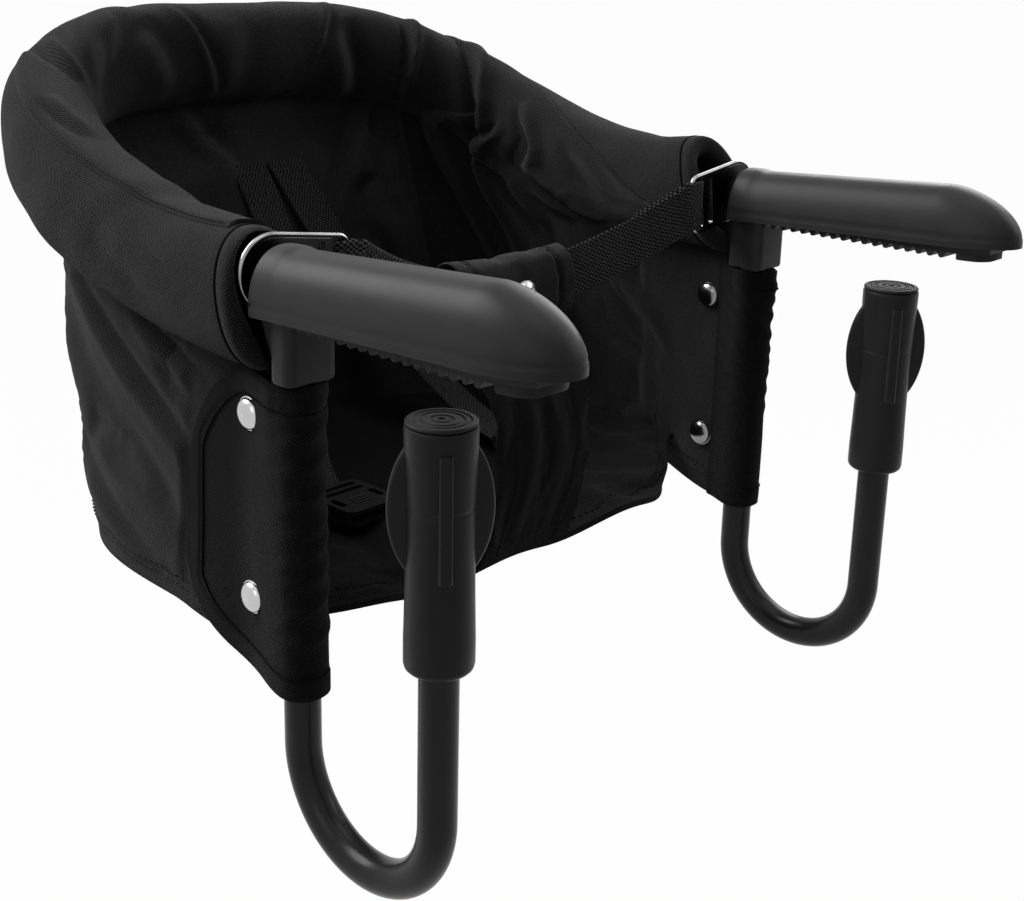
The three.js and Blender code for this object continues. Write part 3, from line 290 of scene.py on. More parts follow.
class Surface:
    """A mesh in the making: points, faces and texture places in metres."""

    def __init__(self) -> None:
        """Starts with nothing."""
        self.points: list[Array] = []
        self.faces: list[tuple[int, ...]] = []
        self.places: list[Place] = []
        self.count = 0

    def add_points(self, points: Array) -> int:
        """Adds points.

        Args:
            points: Points to add.

        Returns:
            The index of the first one.
        """
        first = self.count
        flat = np.asarray(points, float).reshape(-1, 3)
        self.points.append(flat)
        self.count += len(flat)
        return first

    def add_face(self, corners: Sequence[int], places: Sequence[Place]) -> None:
        """Adds a face by its corners' point indices and texture places."""
        self.faces.append(tuple(corners))
        self.places.extend(places)

    def grid(self, points: Array, wrap: bool = False) -> int:
        """Adds a grid of quads.

        Args:
            points: Rows by columns of points.
            wrap: Whether each row closes on itself.

        Returns:
            The index of the first point.
        """
        rows, columns = points.shape[:2]
        first = self.add_points(points)
        closed = np.concatenate([points, points[:, :1]], axis=1) if wrap else points
        u = reached(gaps(closed, 1).mean(axis=0))
        v = reached(gaps(points).mean(axis=1))
        for i, j in product(range(rows - 1), range(len(u) - 1)):
            a, b = first + i * columns + j, first + i * columns + (j + 1) % columns
            places = ((u[j], v[i]), (u[j + 1], v[i]), (u[j + 1], v[i + 1]), (u[j], v[i + 1]))
            self.add_face((a, b, b + columns, a + columns), places)
        return first

    def lid(self, first: int, count: int, centre: Sequence[float]) -> None:
        """Closes a ring of points with a fan.

        Args:
            first: Index of the ring's first point.
            count: Number of points in the ring.
            centre: Middle of the fan.
        """
        hub = self.add_points(np.array([centre]))
        known = np.concatenate(self.points)
        for k in range(count):
            corners = (first + k, first + (k + 1) % count, hub)
            self.add_face(corners, [tuple(known[c][:2]) for c in corners])

    def loft(self, rings: Array) -> None:
        """Adds a closed solid skinned over rings.

        Args:
            rings: Rings by points.
        """
        rows, columns = rings.shape[:2]
        first = self.grid(rings, wrap=True)
        self.lid(first, columns, rings[0].mean(axis=0))
        self.lid(first + (rows - 1) * columns, columns, rings[-1].mean(axis=0))

    def rod(self, path: Array, up: Sequence[float], radius: float, sides: int) -> None:
        """Adds a round bar."""
        angle = full_turn(sides)
        self.loft(swept(path, up, radius * np.cos(angle), radius * np.sin(angle)))

    def turned(self, profile: Sequence[Place], centre: Sequence[float], sides: int = 48) -> None:
        """Adds a solid of revolution about Z.

        Args:
            profile: Radius and height of each point, from one end on the axis to the other.
            centre: Place of the axis at height 0.
            sides: Number of sides.
        """
        angle = full_turn(sides)
        rings = []
        for radius, height in profile:
            ring = np.stack([radius * np.cos(angle), radius * np.sin(angle), np.full(sides, height)], axis=1)
            rings.append(ring + np.asarray(centre, float))
        self.loft(np.array(rings))

    def cloth(self, grid: Array, thickness: Array | float) -> None:
        """Adds a sheet of cloth with a rounded edge.

        Args:
            grid: Middle of the cloth, rows by columns.
            thickness: Its thickness, one value or one for each point.
        """
        rows, columns = grid.shape[:2]
        half = np.broadcast_to(np.asarray(thickness, float) / 2, (rows, columns))[..., None]
        normal = sheet_normals(grid) * half
        last = grid[:, -1] + unit(grid[:, -1] - grid[:, -2]) * half[:, -1] * 0.8
        start = grid[:, 0] + unit(grid[:, 0] - grid[:, 1]) * half[:, 0] * 0.8
        front, rear = grid + normal, (grid - normal)[:, ::-1]
        ring = np.concatenate([front, last[:, None], rear, start[:, None]], axis=1)
        first = self.grid(ring, wrap=True)
        width = ring.shape[1]
        for row in (0, rows - 1):
            start = first + row * width
            for j in range(columns - 1):
                corners = (start + j, start + j + 1, start + 2 * columns - j - 1, start + 2 * columns - j)
                u = [grid[row, k, 0] for k in (j, j + 1, j + 1, j)]
                self.add_face(corners, [(u[k], float(k > 1) * 0.002) for k in range(4)])
            for corners in ((start + columns - 1, start + columns, start + columns + 1),
                            (start + 2 * columns, start + 2 * columns + 1, start)):
                self.add_face(corners, [(0.0, 0.0), (0.001, 0.0), (0.0, 0.001)])

    def stitches(self, path: Array, normals: Array, length: float = 0.0030, gap: float = 0.0012,
                 radius: float = 0.00034) -> None:
        """Adds a row of raised thread stitches.

        Args:
            path: Points on the cloth's surface.
            normals: Directions out of the cloth there.
            length: Length of one stitch.
            gap: Space between two stitches.
            radius: Half the thread's thickness.
        """
        count = max(2, int(gaps(path).sum() / (length + gap)))
        line = evenly(path, 3 * count + 1)
        outward = unit(evenly(np.asarray(normals, float), 3 * count + 1))
        direction = unit(np.gradient(line, axis=0))
        beside = unit(np.cross(direction, outward))
        flat = [(0.0, 0.0), (0.001, 0.0), (0.001, 0.001), (0.0, 0.001)]
        for i in range(1, 3 * count, 3):
            centre, d, n, b = line[i], direction[i] * length / 2, outward[i] * radius, beside[i] * radius
            ring = (b, n * 1.6, -b, -n)
            points = [centre - d - n * 0.5] + [centre - d * 0.7 + p for p in ring]
            points += [centre + d * 0.7 + p for p in ring] + [centre + d - n * 0.5]
            first = self.add_points(np.array(points))
            for q in range(4):
                r = (q + 1) % 4
                self.add_face((first, first + 1 + r, first + 1 + q), flat[:3])
                self.add_face((first + 1 + q, first + 1 + r, first + 5 + r, first + 5 + q), flat)
                self.add_face((first + 5 + q, first + 5 + r, first + 9), flat[:3])

    def sewn(self, line: Array, normals: Array, lift: float) -> None:
        """Adds a row of stitches on both faces of a cloth."""
        for face in (-normals, normals):
            self.stitches(line + face * lift, face)

    def mirrored(self) -> None:
        """Turns the left piece into the right one."""
        self.points = [p * MIRROR for p in self.points]

    def placed(self, side: Side, half: float) -> None:
        """Moves a piece to its side of the seat.

        Args:
            side: Which side.
            half: Distance to the arm's plane, about which the piece is built with +x inwards.
        """
        self.points = [p - np.array([half, 0.0, 0.0]) for p in self.points]
        if side is Side.RIGHT:
            self.mirrored()

    def build(self, name: str, sharp_angle: float = 40.0) -> Piece:
        """Makes the mesh, with its faces all outwards.

        Args:
            name: The object's name.
            sharp_angle: Edges sharper than this, in degrees, stay crisp.

        Returns:
            The finished object, in the scene.
        """
        mesh = bpy.data.meshes.new(name)
        mesh.from_pydata(np.concatenate(self.points).tolist(), [], self.faces)
        layer = mesh.uv_layers.new(name=METRES_LAYER)
        layer.data.foreach_set("uv", np.asarray(self.places, np.float32).ravel())
        work = bmesh.new()
        work.from_mesh(mesh)
        bmesh.ops.recalc_face_normals(work, faces=work.faces)
        work.to_mesh(mesh)
        work.free()
        shaded(mesh, sharp_angle)
        mesh.validate()
        return linked(name, mesh)


def linked(name: str, data: bpy.types.ID) -> Piece:
    """Puts new data into the scene.

    Args:
        name: The object's name.
        data: Its mesh, curve, lamp or camera.

    Returns:
        The new object, in the scene.
    """
    made = bpy.data.objects.new(name, data)
    bpy.context.scene.collection.objects.link(made)
    return made


def shaded(mesh: bpy.types.Mesh, sharp_angle: float) -> None:
    """Shades a mesh smooth, with crisp edges above an angle in degrees."""
    mesh.polygons.foreach_set("use_smooth", [True] * len(mesh.polygons))
    mesh.set_sharp_from_angle(angle=math.radians(sharp_angle))


def final_mesh(piece: Piece) -> bpy.types.Mesh:
    """The mesh that an object's curve or modifiers come to."""
    bpy.context.view_layer.update()
    return bpy.data.meshes.new_from_object(piece.evaluated_get(bpy.context.evaluated_depsgraph_get()))


def bevelled(piece: Piece, width: float) -> None:
    """Rounds a rigid piece's hard edges for good.

    Args:
        piece: The piece.
        width: Width of the rounding.
    """
    rounding = piece.modifiers.new("rounding", "BEVEL")
    rounding.width = width
    rounding.segments = 2
    rounding.limit_method = "ANGLE"
    rounding.angle_limit = math.radians(35)
    mesh = final_mesh(piece)
    piece.modifiers.clear()
    piece.data = mesh


def outline_solid(outline: Array, holes: Sequence[Array], bottom: float, top: float, name: str) -> Piece:
    """Raises a flat outline to a plate.

    Args:
        outline: Points of a flat outline.
        holes: Outlines cut out of it.
        bottom: Height of its lower face.
        top: Height of its upper face.
        name: The object's name.

    Returns:
        The outline as a plate along Z.
    """
    curve = bpy.data.curves.new(name, "CURVE")
    curve.dimensions = "2D"
    curve.fill_mode = "BOTH"
    curve.extrude = (top - bottom) / 2
    for loop in (outline, *holes):
        spline = curve.splines.new("POLY")
        spline.points.add(len(loop) - 1)
        spline.use_cyclic_u = True
        for target, (x, y) in zip(spline.points, loop):
            target.co = (x, y, 0.0, 1.0)
    holder = linked(name, curve)
    mesh = final_mesh(holder)
    bpy.data.objects.remove(holder)
    bpy.data.curves.remove(curve)
    work = bmesh.new()
    work.from_mesh(mesh)
    bmesh.ops.remove_doubles(work, verts=work.verts, dist=1e-6)
    bmesh.ops.dissolve_limit(work, angle_limit=0.01, verts=work.verts, edges=work.edges)
    bmesh.ops.translate(work, verts=work.verts, vec=(0, 0, (top + bottom) / 2))
    bmesh.ops.recalc_face_normals(work, faces=work.faces)
    work.to_mesh(mesh)
    work.free()
    mesh.uv_layers.new(name=METRES_LAYER)
    shaded(mesh, 35)
    return linked(name, mesh)


def rounded_rectangle(width: float, height: float, corner: float, centre: Place = (0.0, 0.0)) -> Array:
    """Outline of a rectangle with round corners.

    Args:
        width: Size along the first direction.
        height: Size along the second direction.
        corner: Radius of the corners.
        centre: Middle of the rectangle.

    Returns:
        Its outline.
    """
    points = []
    for k, (sx, sy) in enumerate(((1, 1), (-1, 1), (-1, -1), (1, -1))):
        for share in np.linspace(0, 1, 7):
            angle = (k + share) * math.pi / 2
            points.append((centre[0] + sx * (width / 2 - corner) + corner * math.cos(angle),
                           centre[1] + sy * (height / 2 - corner) + corner * math.sin(angle)))
    return np.array(points)


def circle(radius: float, sides: int = 48) -> Array:
    """Outline of a circle round the origin."""
    angle = full_turn(sides)
    return radius * np.stack([np.cos(angle), np.sin(angle)], axis=1)


@dataclass(frozen=True)
class Drape:
    """A short cloth simulation that lets a pinned sheet buckle into folds of its own."""

    slack: float
    cap: float
    frames: int = 18
    bending: float = 0.6

    def settle(self, grid: Array, held: Array) -> Array:
        """Runs the simulation on one sheet.

        Args:
            grid: Points of the sheet, rows by columns.
            held: How firmly each point is pinned, 0 to 1.

        Returns:
            The sheet after it has settled, moved by no more than the cap.
        """
        surface = Surface()
        surface.grid(grid)
        cloth = surface.build("settling_sheet")
        pins = cloth.vertex_groups.new(name="held")
        for index, weight in enumerate(held.ravel()):
            if weight > 0:
                pins.add([index], float(weight), "REPLACE")
        modifier = cloth.modifiers.new("cloth", "CLOTH")
        settings = modifier.settings
        settings.vertex_group_mass = "held"
        settings.quality = 6
        settings.mass = 0.2
        settings.tension_stiffness = settings.compression_stiffness = 18
        settings.shear_stiffness = 6
        settings.bending_stiffness = self.bending
        settings.shrink_min = -self.slack
        settings.effector_weights.gravity = 0.0
        modifier.collision_settings.use_collision = False
        modifier.collision_settings.use_self_collision = False
        modifier.point_cache.frame_end = self.frames
        scene = bpy.context.scene
        for number in range(1, self.frames + 1):
            scene.frame_set(number)
        moved = np.zeros(grid.size, np.float32)
        done = cloth.evaluated_get(bpy.context.evaluated_depsgraph_get()).to_mesh()
        done.vertices.foreach_get("co", moved)
        scene.frame_set(1)
        bpy.data.objects.remove(cloth)
        step = moved.reshape(grid.shape).astype(float) - grid
        length = np.linalg.norm(step, axis=2, keepdims=True)
        return grid + step * np.minimum(1.0, self.cap / np.maximum(length, 1e-9))


# Finishes


class NodeSheet:
    """A new material's node tree, with short ways to add and join nodes."""

    def __init__(self, name: str) -> None:
        """Starts a material.

        Args:
            name: The material's name.
        """
        self.material = bpy.data.materials.new(name)
        self.material.use_nodes = True
        self.tree = self.material.node_tree
        self.shader = self.tree.nodes["Principled BSDF"]

    def add(self, kind: str, inputs: dict[str | int, object] | None = None,
            **settings: object) -> bpy.types.Node:
        """Adds a node.

        Args:
            kind: The node's type.
            inputs: Values or sockets for its inputs, by name or number.
            settings: Its own settings.

        Returns:
            The new node.
        """
        node = self.tree.nodes.new(kind)
        for key, value in settings.items():
            setattr(node, key, value)
        for key, value in (inputs or {}).items():
            self.put(node.inputs[key], value)
        return node

    def put(self, socket: Socket, value: object) -> None:
        """Gives an input its value or its link.

        Args:
            socket: An input.
            value: A number, a colour, or the output to link to it.
        """
        if isinstance(value, Socket):
            self.tree.links.new(value, socket)
        else:
            socket.default_value = value

    def math(self, operation: str, first: object, second: object = 0.0) -> Socket:
        """The output of a new math node."""
        return self.add("ShaderNodeMath", {0: first, 1: second}, operation=operation).outputs[0]

    def noise(self, place: object, scale: float, detail: float = 3.0) -> Socket:
        """The output of a new noise texture at a place."""
        made = self.add("ShaderNodeTexNoise", {"Vector": place, "Scale": scale, "Detail": detail})
        return made.outputs["Fac"]

    def blend(self, share: object, first: Colour, second: Colour) -> Socket:
        """Mixes two colours.

        Args:
            share: How much of the second colour.
            first: Colour at 0.
            second: Colour at 1.

        Returns:
            The mixed colour.
        """
        mix = self.add("ShaderNodeMix", data_type="RGBA", clamp_factor=True)
        self.put(mix.inputs["Factor"], share)
        for socket in mix.inputs:
            if socket.type == "RGBA":
                socket.default_value = (*(first if socket.name == "A" else second), 1.0)
        return next(s for s in mix.outputs if s.type == "RGBA")

    def finish(self, colour: object, rough: object, height: object, depth: float) -> Material:
        """Joins the results to the shader.

        Args:
            colour: Base colour or socket.
            rough: Roughness or socket.
            height: Bump height socket.
            depth: Bump distance in metres.

        Returns:
            The finished material.
        """
        self.put(self.shader.inputs["Base Color"], colour)
        self.put(self.shader.inputs["Roughness"], rough)
        raised = self.add("ShaderNodeBump", {"Height": height, "Distance": depth, "Strength": 1.0})
        self.put(self.shader.inputs["Normal"], raised.outputs["Normal"])
        return self.material


def scaled(colour: Colour, factor: float) -> Colour:
    """The colour times the factor."""
    return tuple(min(1.0, c * factor) for c in colour)


@dataclass(frozen=True)
class WovenFinish:
    """Woven cloth or webbing: crossing threads with a painted highlight on their crowns, uneven dye and a
    soft sheen.
    """

    name: str
    colour: Colour
    threads: Place = (0.0014, 0.0014)
    depth: float = 0.0004
    sheen: float = 0.05
    # Strength of the painted highlight on the thread crowns, in the colour.
    contrast: float = 1.1
    tones: tuple[float, float] = (0.30, 1.90)
    gloss: float = 0.03

    def material(self) -> Material:
        """Builds the weave.

        Returns:
            The cloth's material.
        """
        sheet = NodeSheet(self.name)
        place = sheet.add("ShaderNodeUVMap", uv_map=METRES_LAYER).outputs["UV"]
        solid = sheet.add("ShaderNodeTexCoord").outputs["Object"]
        parts = sheet.add("ShaderNodeSeparateXYZ", {"Vector": place})
        wobble = sheet.math("MULTIPLY", sheet.noise(solid, 260.0, 2.0), 2.4)
        waves = []
        for axis, pitch in zip("XY", self.threads):
            turn = sheet.math("MULTIPLY", parts.outputs[axis], 2 * math.pi / pitch)
            waves.append(sheet.math("SINE", sheet.math("ADD", turn, wobble)))
        weave = sheet.math("MULTIPLY", *waves)
        slub = sheet.noise(solid, 900.0, 3.0)
        height = sheet.math("ADD", sheet.math("MULTIPLY", weave, 0.5), slub)
        fade = sheet.math("MULTIPLY", sheet.noise(solid, 34.0, 4.0), 0.45)
        # The threads' crowns are lightened in the colour, a painted highlight; the slub and fade noise are
        # real uneven dye.
        thread_crown_highlight = sheet.math("MULTIPLY", weave, self.contrast)
        tone = sheet.math("ADD", thread_crown_highlight, sheet.math("MULTIPLY", slub, 1.4))
        share = sheet.math("SUBTRACT", sheet.math("ADD", tone, fade), 0.40)
        colour = sheet.blend(share, *(scaled(self.colour, factor) for factor in self.tones))
        rough = sheet.math("ADD", sheet.math("MULTIPLY", slub, 0.15), 0.78)
        sheet.shader.inputs["Specular IOR Level"].default_value = self.gloss
        sheet.shader.inputs["Sheen Weight"].default_value = self.sheen
        sheet.shader.inputs["Sheen Roughness"].default_value = 0.35
        return sheet.finish(colour, rough, height, self.depth)


@dataclass(frozen=True)
class MouldedFinish:
    """Moulded plastic or rubber: a fine grain, faint flow marks and rubbed edges."""

    name: str
    colour: Colour
    rough: float
    grain: float = 3200.0
    depth: float = 0.00003
    specular: float = 0.08

    def material(self) -> Material:
        """Builds the grain.

        Returns:
            The plastic's material.
        """
        sheet = NodeSheet(self.name)
        solid = sheet.add("ShaderNodeTexCoord").outputs["Object"]
        grain = sheet.noise(solid, self.grain, 2.0)
        flow = sheet.noise(solid, 45.0, 5.0)
        edge = sheet.add("ShaderNodeNewGeometry").outputs["Pointiness"]
        rubbed = sheet.math("MULTIPLY", sheet.math("SUBTRACT", edge, 0.53), 4.0)
        share = sheet.math("ADD", sheet.math("MULTIPLY", flow, 0.6), sheet.math("MAXIMUM", rubbed, 0.0))
        colour = sheet.blend(share, scaled(self.colour, 0.75), scaled(self.colour, 1.5))
        mixed = sheet.math("ADD", sheet.math("MULTIPLY", flow, 0.18), sheet.math("MULTIPLY", grain, 0.08))
        rough = sheet.math("ADD", mixed, self.rough - 0.13)
        sheet.shader.inputs["Specular IOR Level"].default_value = self.specular
        return sheet.finish(colour, rough, grain, self.depth)


@dataclass(frozen=True)
class MetalFinish:
    """Bare or plated metal with fine scratches, and edges lightened as wear and as a painted highlight."""

    name: str
    colour: Colour
    rough: float
    stretch: float = 1.0
    dark_face: float = 0.0
    low: float = 0.8

    def material(self) -> Material:
        """Builds the scratches.

        Returns:
            The metal's material.
        """
        sheet = NodeSheet(self.name)
        place = sheet.add("ShaderNodeTexCoord")
        solid = place.outputs["Object"]
        pulled = sheet.add("ShaderNodeMapping", {"Vector": solid, "Scale": (1.0, 1.0, self.stretch)})
        scratch = sheet.noise(pulled.outputs["Vector"], 900.0, 4.0)
        stain = sheet.noise(solid, 120.0, 3.0)
        # Sharp edges are lightened: partly edge wear, partly a painted highlight.
        edge = sheet.add("ShaderNodeNewGeometry").outputs["Pointiness"]
        edge_wear_and_highlight = sheet.math("MULTIPLY", sheet.math("SUBTRACT", edge, 0.52), 6.0)
        share = sheet.math("ADD", sheet.math("MULTIPLY", stain, 0.5), sheet.math("MAXIMUM", edge_wear_and_highlight, 0.0))
        # Faces that point along Y can be darkened; on the plate these are its broad faces, so only its rim
        # faces keep the lighter metal, a painted highlight.
        facing = sheet.add("ShaderNodeSeparateXYZ", {"Vector": place.outputs["Normal"]})
        flat = sheet.math("GREATER_THAN", sheet.math("ABSOLUTE", facing.outputs["Y"]), 0.9)
        share = sheet.math("SUBTRACT", share, sheet.math("MULTIPLY", flat, self.dark_face))
        colour = sheet.blend(share, scaled(self.colour, self.low), scaled(self.colour, 1.35))
        rough = sheet.math("ADD", sheet.math("MULTIPLY", scratch, 0.14), self.rough - 0.07)
        sheet.shader.inputs["Metallic"].default_value = 1.0
        return sheet.finish(colour, rough, scratch, 0.00002)


class Finishes:
    """Every finish of the seat, made once."""

    def __init__(self) -> None:
        """Makes the materials."""
        self.canvas = WovenFinish("black_canvas", (0.021, 0.021, 0.022), sheen=0.10).material()
        # A darker copy of the canvas, painted shade, for the base, the crotch panel and the flaps, which lie
        # in shade.
        self.dark_canvas = WovenFinish("dark_canvas", (0.0098, 0.0098, 0.0103), (0.0013, 0.0013)).material()
        # A lighter copy of the canvas for the back wall: painted light, for the light that falls on it.
        self.back_canvas = WovenFinish("back_canvas", (0.034, 0.034, 0.035), sheen=0.10,
                                       contrast=1.0).material()
        self.webbing = WovenFinish("ribbed_webbing", (0.030, 0.030, 0.031), (0.0024, 0.0030), 0.0006,
                                   contrast=1.8, tones=(0.10, 3.0)).material()
        # Near-black seam lines: the seams are real, their darkness is painted shade of the seam grooves.
        self.thread = WovenFinish("seam_thread_painted_shade", (0.0030, 0.0030, 0.0032), (0.0009, 0.0009), 0.0002,
                                  sheen=0.02, contrast=0.6).material()
        self.tube = MouldedFinish("black_powder_coat", (0.014, 0.014, 0.015), 0.26, 2600.0, 0.00002,
                                  specular=0.14).material()
        self.arm = MouldedFinish("matt_arm_plastic", (0.032, 0.032, 0.033), 0.38).material()
        # A darker copy of the arm plastic for the sleeves, painted shade.
        self.sleeve = MouldedFinish("sleeve_plastic_painted_shade", (0.022, 0.022, 0.023), 0.36).material()
        self.inner = MouldedFinish("inner_plastic", (0.034, 0.034, 0.035), 0.44, 2800.0,
                                   specular=0.09).material()
        self.buckle = MouldedFinish("buckle_plastic", (0.016, 0.016, 0.017), 0.40, 2800.0,
                                    specular=0.12).material()
        self.rubber = MouldedFinish("grip_rubber", (0.030, 0.030, 0.031), 0.60, 2200.0, 0.00004).material()
        # The plate's broad faces are darkened to near black, so its rim faces and edges alone show the
        # lighter metal, a painted highlight.
        self.plate = MetalFinish("dark_plate_steel", (0.42, 0.42, 0.425), 0.26, 12.0, 0.6, 0.03).material()
        self.screw = MetalFinish("screw_steel", (0.24, 0.24, 0.245), 0.26, 12.0).material()
        self.chrome = MetalFinish("polished_snap", (0.56, 0.56, 0.56), 0.20).material()
        # A darker copy of the snap metal for the caps on the walls' inner faces, painted shade.
        self.shade_painted_chrome = MetalFinish("snap_painted_shade", (0.22, 0.22, 0.22), 0.20).material()


class Slot(Enum):
    """The record's material slots."""

    TUBE = "painted_tube"
    PLATE = "plate_steel"
    ARM = "arm_plastic"
    INNER = "inner_plastic"
    BUCKLE = "buckle_plastic"
    RUBBER = "grip_rubber"
    CANVAS = "canvas"
    WEBBING = "webbing"
    SNAP = "snap_metal"


def dress(piece: Piece, finish: Material, slot: Slot, body: str, *nodes: str) -> None:
    """Gives a piece its finish and puts it on its body.

    Args:
        piece: The finished mesh.
        finish: Its material.
        slot: The record's slot it stands for; not used.
        body: The CAD body it rides on.
        nodes: CAD nodes that it stands for.
    """
    piece.data.materials.clear()
    piece.data.materials.append(finish)
    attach(piece, body)
    if nodes:
        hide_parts(*nodes)
    LOG.info("piece %s on %s, %d faces", piece.name, body, len(piece.data.polygons))


# Plans shared by several pieces


@dataclass(frozen=True)
class RimPlan:
    """The rim's axis: level at the arms, rounded and raised at the back."""

    half: float = 0.160
    level: float = 0.015
    back_level: float = 0.089
    straight: float = 0.125
    depth: float = 0.272
    squareness: float = 3.4
    rise_power: float = 2.3
    start: float = 0.040
    reach: float = 0.100
    tube: float = 0.008

    def height(self, y: Array) -> Array:
        """The axis's height there."""
        share = clamp01((y - self.start) / (self.depth - self.start))
        return lerp(self.level, self.back_level, share ** self.rise_power)

    def axis(self, count: int) -> Array:
        """Middle line of the rim behind the arms.

        Args:
            count: Number of points.

        Returns:
            The axis from the collar's left end round to its right end.
        """
        turn = np.linspace(0, math.pi, 500)
        x, back = soft_box(turn, self.half, self.depth - self.straight, self.squareness)
        run = np.linspace(self.start, self.straight, 80)[:-1]
        across = np.concatenate([np.full(len(run), -self.half), -x, np.full(len(run), self.half)])
        deep = np.concatenate([run, self.straight + back, run[::-1]])
        return evenly(np.stack([across, deep, self.height(deep)], axis=1), count)


@dataclass(frozen=True)
class WallPlan:
    """The bucket's walls, from under the rim down to the base."""

    rim: RimPlan
    front: float = 0.022
    pinch: float = 0.0025
    straight: float = 0.100
    depth: float = 0.236
    half: float = 0.167
    squareness: float = 3.0
    widening: float = 0.060
    bottom: float = 0.148
    side_share: float = 0.45
    below_axis: float = 0.0285
    front_tuck: float = 0.0075
    corner: float = 0.743
    base_height: float = 0.138
    base_front: float = 0.008
    base_sag: float = 0.007
    crown: float = 0.007

    def above(self, station: Array) -> Array:
        """Follows the rim over the walls.

        Args:
            station: 0 at the front to 1 at the back's middle.

        Returns:
            The rim's axis above that station.
        """
        turn = math.pi / 2 * clamp01((station - self.side_share) / (1 - self.side_share))
        x, back = soft_box(turn, self.rim.half - self.pinch, self.rim.depth - self.rim.straight,
                           self.rim.squareness)
        run = lerp(self.front, self.rim.straight, station / self.side_share)
        y = np.where(station < self.side_share, run, self.rim.straight + back)
        return np.stack([-x, y, self.rim.height(y)], axis=-1)

    def top(self, station: Array) -> Array:
        """Upper edge of the walls.

        Args:
            station: 0 at the front to 1 at the back's middle.

        Returns:
            The wall's top edge, tucked into the collar.
        """
        step = 1e-3
        tangent = self.above(np.minimum(station + step, 1.0)) - self.above(station - step)
        tangent[station >= 1.0, 2] = 0.0
        tangent = unit(tangent)
        side = unit(np.cross(tangent, np.array(UP)))
        tuck = self.front_tuck * (1 - smooth((station - 0.05) / 0.10))
        return self.above(station) - (self.below_axis - tuck)[:, None] * np.cross(side, tangent)

    def foot_half(self, y: Array) -> Array:
        """How far the wall's foot is from the middle."""
        return lerp(self.rim.half - self.pinch, self.half, smooth((y - self.front) / self.widening))

    def foot(self, station: Array) -> Array:
        """Lower edge of the walls.

        Args:
            station: 0 at the front to 1 at the back's middle.

        Returns:
            The wall's foot.
        """
        run = lerp(self.front, self.straight, station / self.side_share)
        turn = math.pi / 2 * clamp01((station - self.side_share) / (1 - self.side_share))
        x, back = soft_box(turn, self.half, self.depth - self.straight, self.squareness)
        ahead = station < self.side_share
        across = np.where(ahead, self.foot_half(run), x)
        deep = np.where(ahead, run, self.straight + back)
        return np.stack([-across, deep, np.full_like(deep, -self.bottom)], axis=-1)

    def grid(self, stations: Array, rows: int) -> Array:
        """The wall's points, stations by rows."""
        drop = np.linspace(0, 1, rows)[None, :, None]
        return lerp(self.top(stations)[:, None], self.foot(stations)[:, None], drop)

    def base_level(self, x: Array, y: Array) -> Array:
        """Level of the base, which sags in its middle.

        Args:
            x: Places across.
            y: Depths.

        Returns:
            Height of the base cloth.
        """
        along = clamp01((y - self.base_front) / (self.depth - self.base_front))
        middle = 1 - clamp01(np.abs(x) / self.half) ** 2
        return -self.base_height - self.base_sag * middle * np.sin(math.pi * along)

    def base_half(self, y: Array) -> Array:
        """Width of the base from front to back.

        Args:
            y: Depths.

        Returns:
            Half the base's width.
        """
        eased = clamp01((y - self.front) / 0.016)
        beside = self.foot_half(y) - lerp(0.015, 0.003, eased)
        share = clamp01((y - self.straight) / (self.depth - 0.003 - self.straight))
        round_back = (self.half - 0.003) * (1 - share ** 3) ** (1 / 3)
        return np.where(y < self.front, 0.145, np.where(y < self.straight, beside, round_back))

    def outside(self, y: Array, z: Array) -> Array:
        """Distance that flaps and snaps keep from the arm's plane.

        Args:
            y: Depths.
            z: Heights.

        Returns:
            How far the wall's outer face is outside the arm's plane.
        """
        top = self.rim.level - 0.0345
        drop = clamp01((top - z) / (top + self.bottom))
        return lerp(self.rim.half - self.pinch, self.foot_half(y), drop) - self.rim.half + 0.00125


# Rim, collar and strap plates


